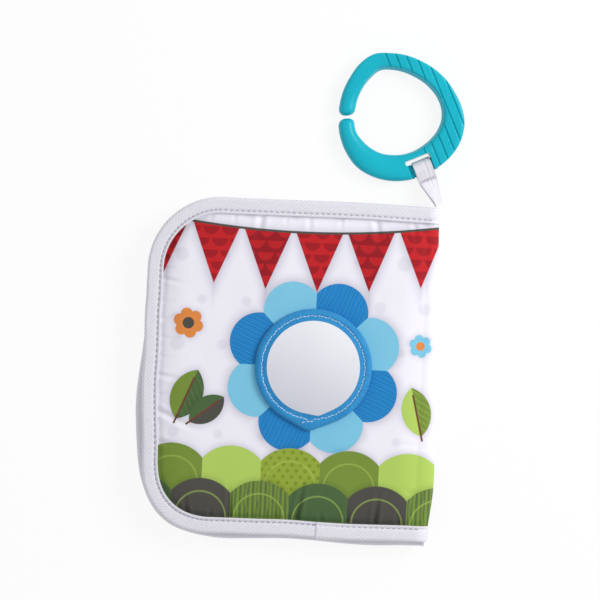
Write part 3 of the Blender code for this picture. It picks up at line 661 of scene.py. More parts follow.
def bound_tape(leaf, start, rounding, heights_at, step, join=None):
    """The tape as a loft along the bound edge. heights_at gives the section's bottom and top, and the
    inside follows a little within them. Gives the shape and its UVs, in tenths of a metre."""
    points, ways, s = edge_run(leaf, start, step)
    inward, level = tape_profile(rounding, step)
    q = np.concatenate([[0], np.cumsum(np.hypot(np.diff(inward), np.diff(level) * rounding))])
    bottom, top = heights_at(points[:, 0])
    middle, half = (top + bottom)[:, None] / 2, (top - bottom)[:, None] / 2
    relief = tape_relief(s[:, None], q, inward, join)
    out = np.clip(1 - inward / rounding, 0, 1)
    outer_in = inward - relief * np.sin(out * math.pi / 2)
    outer_h = middle + level * (half + relief * np.cos(out * math.pi / 2))
    wall = np.array([TAPE_WIDTH, TAPE_WALL, TAPE_WALL, TAPE_WIDTH])
    inner_level = np.array([-1, -1, 1, 1])
    cloth = np.minimum(TAPE_CLOTH, half * TAPE_CLOTH_SHARE)
    all_in = np.concatenate([outer_in, np.tile(wall, (len(s), 1))], 1)
    all_h = np.concatenate([outer_h, middle + inner_level * (half - cloth)], 1)
    u = points[:, :1] + all_in * ways[:, :1]
    y = points[:, 1:] + all_in * ways[:, 1:]
    sections = in_book(leaf, u, y, all_h)
    across = np.concatenate([q, np.full(4, q[-1])])
    uvs = np.stack(np.broadcast_arrays(s[:, None], across), -1) * UVS_IN_METRE
    return loft(sections), uvs


def cover_tape_heights(u):
    """A cover's tape keeps its thickness, then follows the cloth down a quarter ellipse to the crease."""
    reach = NOSE_REACH + TAPE_NOSE_PAST
    top = TAPE_TOP * np.sqrt(np.clip(1 - (np.maximum(NOSE_RUN - u, 0) / reach) ** 2, 0, 1))
    bottom = COVER_BOTTOM - (COVER_BOTTOM - TAPE_LEAST) * smooth_step((TAPE_START - u) / TAPE_LIFT_RUN)
    return bottom, np.maximum(top, bottom + TAPE_LEAST)


def page_tape_heights(u):
    """The page's tape keeps one thickness about the book's middle plane."""
    return np.full_like(u, -PAGE_TAPE_TOP), np.full_like(u, PAGE_TAPE_TOP)


def tape_join():
    """How far along the front's bound edge the tape's end laps over its start, on the foot."""
    points, _, s = edge_run(FRONT, TAPE_END, TAPE_STEP)
    on_foot = points[:, 1] < FRONT["foot"] + MM
    return s[on_foot][np.argmin(np.abs(SPINE_X - points[on_foot, 0] - JOIN_X))]


def seam_stitches(leaf, heights_at, side):
    """Lockstitches that lie in the tape's groove, all the way round one face of a leaf."""
    points, ways, s = edge_run(leaf, STITCH_START, STITCH_PITCH)
    bottom, top = heights_at(points[:, 0])
    sunk = TAPE_GROOVE * STITCH_SUNK - STITCH_RADIUS / 2
    h = top - sunk if side > 0 else bottom + sunk
    on_line = points + ways * STITCH_LINE
    centres = in_book(leaf, on_line[:, 0], on_line[:, 1], h)[1:-1]
    lean = np.gradient(h, s)[1:-1] * leaf["side"]
    along = np.column_stack([ways[1:-1, 1], ways[1:-1, 0], lean])
    return grains(centres, along, STITCH_LENGTH, STITCH_RADIUS)


# Spine

def spine_wrap(foot, top, ribbed):
    """Cloth or tape round the fold: a band along the half ellipse that both leaves' noses follow, with
    its ends eased in under them. Sections run across the band from foot to top and back inside."""
    if ribbed:
        height, reach, rise = TAPE_TOP, NOSE_REACH + SPINE_TAPE_OUT, SPINE_TAPE_RISE
    else:
        height, reach, rise = CLOTH_TOP, NOSE_REACH - SPINE_CLOTH_IN, SPINE_CLOTH_RISE
    lift = np.linspace(-rise, rise, SPINE_STEPS)
    turns = np.arcsin(lift / height)
    centre = np.stack([NOSE_RUN - reach * np.cos(turns), lift], 1)
    normal = np.stack([-np.cos(turns) / reach, np.sin(turns) / height], 1)
    normal /= np.linalg.norm(normal, axis=1, keepdims=True)
    tuck = -SPINE_TUCK * smooth_step((np.abs(lift) / rise - SPINE_TUCK_FROM) / (1 - SPINE_TUCK_FROM))
    y = np.linspace(foot, top, int((top - foot) / SPINE_STEP))
    edge = np.clip(np.minimum(y - foot, top - y) / SPINE_EDGE, 0, 1)
    soft = -CLOTH / 2 * (1 - np.sqrt(np.clip(1 - (1 - edge) ** 2, 0, 1)))
    s = lift[:, None]
    relief = SPINE_WAVE * np.sin(y / SPINE_WAVE_LENGTH) * np.cos(s / MM)
    if ribbed:
        relief = RIB_HEIGHT * rib(s + (top - foot), y)
    outer = tuck[:, None] + soft + relief
    inner = tuck[:, None] - CLOTH - soft
    offsets = np.concatenate([np.broadcast_to(outer, (len(lift), len(y))), inner[:, ::-1]], 1)
    u = centre[:, :1] + normal[:, :1] * offsets
    h = centre[:, 1:] + normal[:, 1:] * offsets
    run = np.concatenate([y, y[::-1]])
    uvs = np.stack(np.broadcast_arrays(s, run), -1) * UVS_IN_METRE
    return loft(in_book(FRONT, u, np.broadcast_to(run, u.shape), h)), uvs


# Mirror

def drop_outline(angles, tip_angle, radius, tip_past):
    """Radii of a circle that runs out to a blunt point past it, along the two tangents from that point."""
    tangent = math.acos(radius / (radius + tip_past))
    off = np.abs((angles - tip_angle + math.pi) % math.tau - math.pi)
    blunt = np.sqrt(off**2 + TIP_BLUNT**2)
    return radius / np.cos(np.maximum(tangent - blunt, 0))


def mirror_frame_shape(centre, bottom, top):
    """The bound frame: a folded ring of cloth that is sewn down along one line, swells outside it and
    rises inside it to the mirror's edge, and is gathered in small waves of the angle."""
    angles = np.linspace(0, math.tau, FRAME_STEPS, endpoint=False)
    outer = drop_outline(angles, MIRROR_TIP_ANGLE, MIRROR_RADIUS, MIRROR_TIP_PAST)[:, None]
    inner = drop_outline(angles, VIEW_TIP_ANGLE, MIRROR_RADIUS - FRAME_WIDTH, VIEW_TIP_PAST)[:, None]
    share = np.linspace(0, 1, FRAME_FACE_STEPS)
    face_radius = inner + (outer - inner) * share
    wave = np.sin(57 * angles + 3 * np.sin(5 * angles)) + 0.7 * np.sin(91 * angles + 1.3)
    gathers = GATHER * wave[:, None] * (GATHER_LEAST + np.abs(share - GATHER_FROM))
    off = face_radius - FRAME_SEAM
    outer_band = np.clip(off / (outer - FRAME_SEAM), 0, 1)
    inner_band = np.clip(off / (inner - FRAME_SEAM), 0, 1)
    swell = FRAME_SWELL * (np.sqrt(np.clip(1 - (2 * outer_band - 1) ** 4, 0, 1)) + 1.5 * inner_band**1.2)
    seam = np.exp(-((off / FRAME_SEAM_WIDTH) ** 2))
    face_z = top - FRAME_SWELL + swell - FRAME_SEAM_DEPTH * seam - FRAME_FALL * outer_band**3 + gathers
    turns = np.linspace(0, math.pi, FRAME_SIDE_STEPS)[1:-1]
    side_radius = outer + FRAME_SIDE * np.sin(turns)
    edge_z = face_z[:, -1:]
    side_z = (edge_z + bottom) / 2 + (edge_z - bottom) / 2 * np.cos(turns)
    lip, wall = outer - FRAME_LIP, outer - FRAME_WALL
    floor, ceiling = bottom + FRAME_CLOTH, top - FRAME_CLOTH
    under_radius = np.concatenate([lip, lip, wall, wall, inner], 1)
    under_z = np.tile([bottom, floor, floor, ceiling, ceiling], (len(angles), 1))
    radius = np.concatenate([face_radius, side_radius, under_radius], 1)
    z = np.concatenate([face_z, side_z, under_z], 1)
    x = centre[0] + radius * np.cos(angles)[:, None]
    y = centre[1] + radius * np.sin(angles)[:, None]
    return loft(np.stack([x, y, z], -1), closed=True)


def disc_between(centre, radius, bottom, top, bow):
    """A disc as a square grid drawn round, x = a sqrt(1 - b^2/2) and y = b sqrt(1 - a^2/2), with a
    bowed face."""
    across = np.linspace(-1, 1, DISC_STEPS)
    a, b = np.meshgrid(across, across, indexing="ij")
    x, y = a * np.sqrt(1 - b * b / 2), b * np.sqrt(1 - a * a / 2)
    flat = np.stack([centre[0] + radius * x, centre[1] + radius * y], -1)
    wave = 0.5 * np.sin(2.3 * x + 1.1 * y + 0.4) + 0.3 * np.sin(3.1 * y - 1.4 * x)
    lift = bow * ((1 - x * x - y * y) * (1 + 0.4 * wave))
    upper = np.dstack([flat, top + lift])
    lower = np.dstack([flat, np.full_like(x, bottom)])
    return sheet_between(lower, upper)


def frame_stitches(centre, top):
    """White stitches round the frame that lean to and fro, and crossed thread ends beside its tip."""
    number = np.arange(FRAME_STITCHES)
    angles = MIRROR_TIP_ANGLE + FRAME_STITCHES_START + number / FRAME_STITCHES * FRAME_STITCHES_OVER
    radius = FRAME_SEAM + FRAME_STITCH_WANDER * np.sin(number * 2.4)
    flat = np.zeros(FRAME_STITCHES)
    way = np.stack([np.cos(angles), np.sin(angles), flat], 1)
    across = np.stack([-np.sin(angles), np.cos(angles), flat], 1)
    lean = np.where(number % 2, 1, -1) * FRAME_STITCH_LEAN + FRAME_STITCH_UNEVEN * (spread(number) - 0.5)
    along = across * np.cos(lean)[:, None] + way * np.sin(lean)[:, None]
    centres = way * radius[:, None] + (centre[0], centre[1], top - FRAME_STITCH_SUNK)
    ends = np.array(THREAD_ENDS) * MM + centre
    ends = np.column_stack([ends, np.full(len(ends), top + THREAD_ENDS_PROUD)])
    centres, along = np.concatenate([centres, ends]), np.concatenate([along, THREAD_END_WAYS])
    return grains(centres, along, FRAME_STITCH_LENGTH, FRAME_STITCH_RADIUS)


# Clip ring

def round_shares(shares, angles):
    """Smooth values round a circle through equally spaced shares."""
    return through(shares, angles / math.tau * len(shares), closed=True)


def ring_stations():
    """Angles along the open ring, closer together on the ribbed side, and each section's size, which is
    drawn in to a blunt round end at the gap."""
    mean = (RING_RADIUS + HOLE_RADIUS) / 2
    start, end = CLIP_GAP / 2 / mean, math.tau - CLIP_GAP / 2 / mean
    round_end = CLIP_END_ROUND / mean
    share = np.linspace(0, 1, 13)[1:-1] ** 2
    arm = np.linspace(start + round_end, end - round_end, 5000)
    ribbed = smooth_step(np.cos(CLIP_GAP_ANGLE + arm) + 0.9)
    density = np.cumsum(1 + RING_DENSER * ribbed)
    even = np.interp(np.linspace(density[0], density[-1], RING_STATIONS), density, arm)
    from_gap = np.concatenate([start + round_end * share, even, end - round_end * share[::-1]])
    into = np.clip(np.minimum(from_gap - start, end - from_gap) / round_end, 0, 1)
    return CLIP_GAP_ANGLE + from_gap, (1 - (1 - into) ** CLIP_END_POWER) ** (1 / CLIP_END_POWER)


def ring_surface(angles, sizes, turns, drawn_in, thickness):
    """Superellipse sections in polar form, r = (|cos|^p + |sin|^p)^(-1/p), between hole and rim. On the
    ribbed side the hole's wall slants out from its middle to both faces."""
    ribbed = smooth_step(np.cos(angles - RIBBED_MIDDLE) + 0.75)[:, None]
    power = PLAIN_POWER + (RIBBED_POWER - PLAIN_POWER) * ribbed
    cosine, sine = np.cos(turns), np.sin(turns)
    polar = (np.abs(cosine) ** power + np.abs(sine) ** power) ** (-1 / power)
    rim = (RING_RADIUS * round_shares(RIM_SHARES, angles))[:, None]
    hole = (HOLE_RADIUS * round_shares(HOLE_SHARES, angles))[:, None]
    half = (rim - hole) / 2 * sizes[:, None]
    slant = INNER_SLANT * ribbed * np.abs(polar * sine) * np.clip(-polar * cosine, 0, 1)
    slant = slant * sizes[:, None]
    radius = (rim + hole) / 2 + half * polar * cosine + slant
    z = (thickness / 2 * polar * np.abs(sine) - drawn_in) * np.sign(sine) * sizes[:, None]
    return np.stack([radius * np.cos(angles)[:, None], radius * np.sin(angles)[:, None], z], -1)


def groove_depth(points, thickness):
    """Grooves in both faces at equal steps along the ring's own X, with soft edges."""
    x, level = points[..., 0], np.abs(points[..., 2]) / (thickness / 2)
    number = np.clip(np.round((x - GROOVE_START) / GROOVE_PITCH), 0, GROOVE_COUNT - 1)
    off = np.abs(x - GROOVE_START - number * GROOVE_PITCH)
    across = smooth_step((GROOVE_WIDTH / 2 + GROOVE_SOFT - off) / (2 * GROOVE_SOFT))
    return GROOVE_DEPTH * across * smooth_step((level - GROOVE_LEVEL) / GROOVE_LEVEL_RUN)


def notch_depth(points):
    """The faces' dip towards the ribbon's notch, a share of the height there."""
    x, y, z = points[..., 0], points[..., 1], points[..., 2]
    beside = smooth_step((x + NOTCH_LEFT + NOTCH_RUN) / NOTCH_RUN * 1.6) * (x < 0)
    return NOTCH_DIP * np.abs(z) * beside * smooth_step((SLOT_FOOT + MM / 2 - BAR_OFFSET - y) / MM)


def bar_frame(points):
    """Points of the bar's frame in the model's: X along the bar, Y from the ribbon to the ring's middle."""
    swing = JOINTS["ring_swing"]
    along = np.array(swing["axis"])
    along /= np.linalg.norm(along)
    away = np.cross([0, 0, 1], along)
    return points @ np.array([along, away, [0, 0, 1]]) + np.array(swing["pos_m"])


def prism(outline, bottom, top):
    """An outline raised from bottom to top."""
    flat = np.asarray(outline)
    rings = [np.column_stack([flat, np.full(len(flat), z)]) for z in (bottom, top)]
    return loft(np.array(rings))


def rounded(corners, radii):
    """An outline with each corner replaced by a curve through it, (1-t)^2 a + 2t(1-t) b + t^2 c."""
    corners = np.asarray(corners)
    t = np.linspace(0, 1, 8)[:, None]
    points = []
    for before, corner, after, radius in zip(np.roll(corners, 1, 0), corners, np.roll(corners, -1, 0), radii):
        a = corner + (before - corner) / np.linalg.norm(before - corner) * radius
        c = corner + (after - corner) / np.linalg.norm(after - corner) * radius
        points.append((1 - t) ** 2 * a + 2 * t * (1 - t) * corner + t**2 * c)
    return np.concatenate(points)


def carve(piece, cutters):
    """Booleans by throwaway objects, with the result kept as the piece's own mesh."""
    for cutter, operation in cutters:
        modifier = piece.modifiers.new(cutter.name, "BOOLEAN")
        modifier.solver = "EXACT"
        modifier.operation = operation
        modifier.object = cutter
    bpy.context.view_layer.update()
    shown = piece.evaluated_get(bpy.context.evaluated_depsgraph_get())
    mesh = bpy.data.meshes.new_from_object(shown)
    piece.modifiers.clear()
    piece.data = mesh
    for cutter, _ in cutters:
        bpy.data.objects.remove(cutter)
    mesh.shade_smooth()
    mesh.set_sharp_from_angle(angle=math.radians(38))


def clip_ring(look):
    """The open ring with its grooves, cut through for the ribbon, and the bar that the ribbon goes round,
    which has a flat neck beside the ribbon."""
    low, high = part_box("clip_ring")
    thickness = high.z - low.z
    angles, sizes = ring_stations()
    turns = np.linspace(0, math.tau, RING_SIDES, endpoint=False)
    plain = ring_surface(angles, sizes, turns, 0, thickness)
    centre = np.array([-RIBBON_ALONG_BAR, BAR_OFFSET, 0])
    drawn_in = groove_depth(plain, thickness) + notch_depth(plain)
    sections = ring_surface(angles, sizes, turns, drawn_in, thickness)
    vertices, faces = loft(sections + centre)
    ring = add_piece("ring_moulding", (bar_frame(vertices), faces), look)
    left, past = -RIBBON_ALONG_BAR, thickness
    slot = rounded([
        (left - SLOT_LEFT, SLOT_REACH),
        (left - SLOT_LEFT, SLOT_FOOT),
        (left - NOTCH_LEFT, SLOT_FOOT),
        (left - NOTCH_LEFT, -BAR_OFFSET),
        (left + SLOT_RIGHT, -BAR_OFFSET),
        (left + SLOT_RIGHT, SLOT_REACH),
    ], np.array([0.8, 0.6, 0.2, 0.2, 0.2, 0.6]) * SLOT_ROUND)
    cut, cut_faces = prism(slot, -past, past)
    cutter = add_piece("slot_cutter", (bar_frame(cut), cut_faces), look)
    wheel = np.linspace(0, math.tau, BAR_SIDES, endpoint=False)
    eye, right = -RIBBON_WIDTH / 2, left + SLOT_RIGHT + BAR_RADIUS / 2
    ends = np.array([left - NOTCH_LEFT - NECK_SUNK, eye, eye + NECK_STEP, right])[:, None]
    tall = np.array([NECK_HEIGHT, NECK_HEIGHT, BAR_RADIUS, BAR_RADIUS])[:, None]
    bar = np.stack(np.broadcast_arrays(ends, BAR_RADIUS * np.cos(wheel), tall * np.sin(wheel)), -1)
    bar, bar_faces = loft(bar)
    bar = add_piece("bar", (bar_frame(bar), bar_faces), look)
    carve(ring, ((cutter, "DIFFERENCE"), (bar, "UNION")))
    return ring


# Ribbon

def ribbon_path(tail):
    """(along, off, bulge) of one strand's outer and inner faces: from the root beside its twin to the
    stitching, along a tangent to the bar, and half way round it. along is measured back from the bar."""
    inner = BAR_RADIUS + EYE_PLAY
    mean = inner + RIBBON / 2
    off = (RIBBON + RIBBON_SLIT) / 2
    reach = math.hypot(RIBBON_STITCH, off)
    tangent = math.atan2(off, RIBBON_STITCH) + math.acos(mean / reach)
    round_bar = np.linspace(tangent, math.pi, RIBBON_EYE_STEPS)
    along = np.linspace(tail, RIBBON_STITCH, int((tail - RIBBON_STITCH) / RIBBON_STEP) + 1)
    pressed = 1 - RIBBON_PRESSED * smooth_step((along - RIBBON_STITCH) / RIBBON_PRESSED_RUN)
    t = np.linspace(0, 1, RIBBON_EASE_STEPS)[1:-1, None]
    faces = []
    for outside in (1, 0):
        eye = np.stack([np.cos(round_bar), np.sin(round_bar)], 1) * (inner + RIBBON * outside)
        straight = np.stack([along, (RIBBON_SLIT / 2 + RIBBON * outside) * pressed], 1)
        faces.append(np.concatenate([straight, straight[-1] + (eye[0] - straight[-1]) * t, eye]))
    return faces


def ribbon_shape():
    """The woven tape: both strands and the eye as one loft, turned on edge towards the spine, with small
    wrinkles that spread from the stitching. Gives the shape and its UVs."""
    root = np.array(JOINTS["ribbon_swing"]["pos_m"])
    bar = np.array(JOINTS["ring_swing"]["pos_m"])
    drop = root[2] - bar[2]
    tail = math.hypot(*(bar - root)[:2])
    outer, inner = ribbon_path(tail)
    outer, inner = (np.concatenate([path, path[-2::-1] * (1, -1)]) for path in (outer, inner))
    across = np.linspace(-0.5, 0.5, RIBBON_ACROSS_STEPS) * RIBBON_WIDTH
    length = np.concatenate([[0], np.cumsum(np.hypot(*np.diff(outer, axis=0).T))])
    sections, uvs = [], []
    for path, widths, outside in ((outer, across, 1), (inner, across[::-1], -1)):
        along, off = path[:, :1], path[:, 1:]
        near = np.exp(-(((along - RIBBON_STITCH) / RIBBON_WRINKLE_RUN) ** 2))
        sewn = np.exp(-(((along - RIBBON_STITCH) / RIBBON_SEAM_RUN) ** 2))
        folds = np.sin(widths / (1.15 * MM) + 40 * along) + 0.6 * np.sin(widths / (0.7 * MM) - 1.4)
        waves = np.sin(along / (2.1 * MM) + widths / (3 * MM))
        selvedge = SELVEDGE * smooth_step((np.abs(widths) - SELVEDGE_FROM) / SELVEDGE_RUN) * outside
        wrinkle = RIBBON_WRINKLE * near * folds + RIBBON_WAVE * waves
        wrinkle = wrinkle - RIBBON_FOLD * np.exp(-(((widths - RIBBON_FOLD_AT) / RIBBON_FOLD_WIDTH) ** 2))
        pressed = -RIBBON_SEAM * sewn * outside
        share = np.clip((along - TWIST_START) / (TWIST_END - TWIST_START), 0, 1)
        turn, rise = np.arccos(1 - share * (1 - math.cos(RIBBON_TWIST))), smooth_step(share) * drop
        lift = off + np.sign(off) * (wrinkle + selvedge + pressed)
        x = widths * np.cos(turn) + lift * np.sin(turn)
        z = -widths * np.sin(turn) + lift * np.cos(turn)
        sections.append(np.stack(np.broadcast_arrays(x, -along, z + rise), -1))
        uvs.append(np.stack(np.broadcast_arrays(length[:, None], widths), -1) * UVS_IN_METRE)
    return loft(bar_frame(np.concatenate(sections, 1))), np.concatenate(uvs, 1)


def ribbon_stitches():
    """A bar tack across the ribbon, two rows of leaning stitches on both faces."""
    number = np.arange(TACK_STITCHES)
    x = np.linspace(-TACK_WIDTH / 2, TACK_WIDTH / 2, TACK_STITCHES) * RIBBON_WIDTH
    rows = []
    for face in (1, -1):
        for row in range(TACK_ROWS):
            y = TACK_SHIFT - RIBBON_STITCH - row * TACK_ROW_PITCH + TACK_UNEVEN * np.sin(number * 2.1 + row)
            z = np.full(TACK_STITCHES, face * (RIBBON + RIBBON_SLIT / 2 + TACK_PROUD))
            rows.append(np.stack([x, y, z], 1))
    ways = np.stack([np.ones(TACK_STITCHES), np.take(TACK_LEANS, number % 2), np.zeros(TACK_STITCHES)], 1)
    ways = np.tile(ways, (len(rows), 1))
    vertices, faces = grains(np.concatenate(rows), ways, TACK_LENGTH, TACK_RADIUS)
    return bar_frame(vertices), faces


# Looks

def display(red, green, blue):
    """A colour as a screen shows it, 0 to 255, in the linear values that Blender mixes."""
    shares = np.array([red, green, blue]) / 255
    linear = np.where(shares > 0.04045, ((shares + 0.055) / 1.055) ** 2.4, shares / 12.92)
    return (*linear.tolist(), 1)


class Field:
    """A number or colour that varies over a surface: one output of a shader node."""

    def __init__(self, look, socket):
        self.look, self.socket = look, socket

    def __add__(self, other):
        return self.look.math("ADD", self, other)

    def __sub__(self, other):
        return self.look.math("SUBTRACT", self, other)

    def __mul__(self, other):
        return self.look.math("MULTIPLY", self, other)

    def __truediv__(self, other):
        return self.look.math("DIVIDE", self, other)

    def __mod__(self, other):
        return self.look.math("FLOORED_MODULO", self, other)

    def abs(self):
        """Its size without its sign."""
        return self.look.math("ABSOLUTE", self)

    def floor(self):
        """The whole number below it."""
        return self.look.math("FLOOR", self)

    def sin(self):
        """Its sine."""
        return self.look.math("SINE", self)

    def near(self, pitch):
        """Signed distance to the nearest of the lines that lie a pitch apart."""
        return (self + pitch / 2) % pitch - pitch / 2


class Look:
    """A material being made: its nodes, and the sums and colours that they work out."""

    def __init__(self, name, roughness, **finish):
        self.material = bpy.data.materials.new(name)
        self.material.use_nodes = True
        self.tree = self.material.node_tree
        self.shader = self.tree.nodes["Principled BSDF"]
        self.shader.inputs["Roughness"].default_value = roughness
        for socket, value in finish.items():
            self.shader.inputs[socket.replace("_", " ")].default_value = value

    def node(self, kind, inputs=None, output=0, **settings):
        """A new node with its settings and inputs. Gives one of its outputs."""
        node = self.tree.nodes.new(kind)
        for name, value in settings.items():
            setattr(node, name, value)
        for key, value in (inputs or {}).items():
            if isinstance(value, Field):
                self.tree.links.new(value.socket, node.inputs[key])
            else:
                node.inputs[key].default_value = value
        return Field(self, node.outputs[output])

    def math(self, operation, *values, clamp=False):
        """A sum of fields and numbers."""
        return self.node("ShaderNodeMath", dict(enumerate(values)), operation=operation, use_clamp=clamp)

    def least(self, a, b):
        """The lower of two: where both shapes are joined."""
        return self.math("MINIMUM", a, b)

    def most(self, a, b):
        """The higher of two: where both shapes overlap."""
        return self.math("MAXIMUM", a, b)

    def length(self, a, b):
        """The distance (a^2 + b^2)^(1/2)."""
        return self.math("SQRT", a * a + b * b)

    def place(self, output="Object", scale=MM_IN_METRE):
        """x, y and z of the surface in millimetres, or its UVs along and across the cloth."""
        vector = self.node("ShaderNodeTexCoord", output=output)
        parts = self.node("ShaderNodeSeparateXYZ", {0: vector})
        sockets = parts.socket.node.outputs
        return [Field(self, sockets[axis]) * scale for axis in range(3)]

    def chance(self, a, b):
        """A fixed value from 0 to 1 for each whole (a, b)."""
        pair = self.node("ShaderNodeCombineXYZ", {0: a, 1: b})
        return self.node("ShaderNodeTexWhiteNoise", {"Vector": pair}, noise_dimensions="2D")

    def noise(self, scale, detail=3.0, output="Object"):
        """Soft noise from 0 to 1, with so many waves to a metre."""
        vector = self.node("ShaderNodeTexCoord", output=output)
        return self.node("ShaderNodeTexNoise", {"Vector": vector, "Scale": scale, "Detail": detail})

    def inside(self, distance, soft=0.3):
        """1 where a signed distance is negative, 0 outside, with a soft edge in millimetres."""
        return self.math("MULTIPLY_ADD", distance, -1 / soft, 0.5, clamp=True)

    def paint(self, under, colour, mask):
        """A colour laid over another where the mask is 1."""
        return self.node("ShaderNodeMix", {0: mask, 6: under, 7: colour}, output=2, data_type="RGBA")

    def shade(self, under, colour, mask):
        """A colour printed over another, which it darkens where the mask is 1."""
        inputs = {0: mask, 6: under, 7: colour}
        return self.node("ShaderNodeMix", inputs, output=2, data_type="RGBA", blend_type="MULTIPLY")

    def coat(self, colour):
        """The base colour."""
        if isinstance(colour, Field):
            self.tree.links.new(colour.socket, self.shader.inputs["Base Color"])
        else:
            self.shader.inputs["Base Color"].default_value = colour
        return self

    def bump(self, height, depth, strength=1.0):
        """Relief too fine for the mesh, with its depth in millimetres."""
        inputs = {"Height": height, "Distance": depth * MM, "Strength": strength}
        normal = self.node("ShaderNodeBump", inputs)
        self.tree.links.new(normal.socket, self.shader.inputs["Normal"])
        return self


def weave(along, across, pitch):
    """Plain weave: the product of two sines that change sign thread by thread."""
    return (along * (math.pi / pitch)).sin() * (across * (math.pi / pitch)).sin()


WHITE_CLOTH = display(243, 241, 249)
DOT_GREY = display(232, 230, 239)
SHADE_GREY = display(186, 184, 198)
RED, DARK_RED = display(196, 32, 38), display(150, 22, 32)
BLUE, DEEP_BLUE, LIGHT_BLUE = display(38, 140, 206), display(28, 112, 176), display(126, 200, 228)
DARK_GREEN, OLIVE = display(76, 102, 62), display(120, 145, 58)
LIME, DEEP_LIME, PALE_LIME = display(148, 170, 60), display(124, 146, 44), display(178, 208, 98)
GREY_OLIVE, ORANGE = display(78, 76, 70), display(226, 140, 70)
CREAM, PALE_BLUE, BROWN = display(246, 240, 226), display(198, 226, 240), display(110, 66, 50)


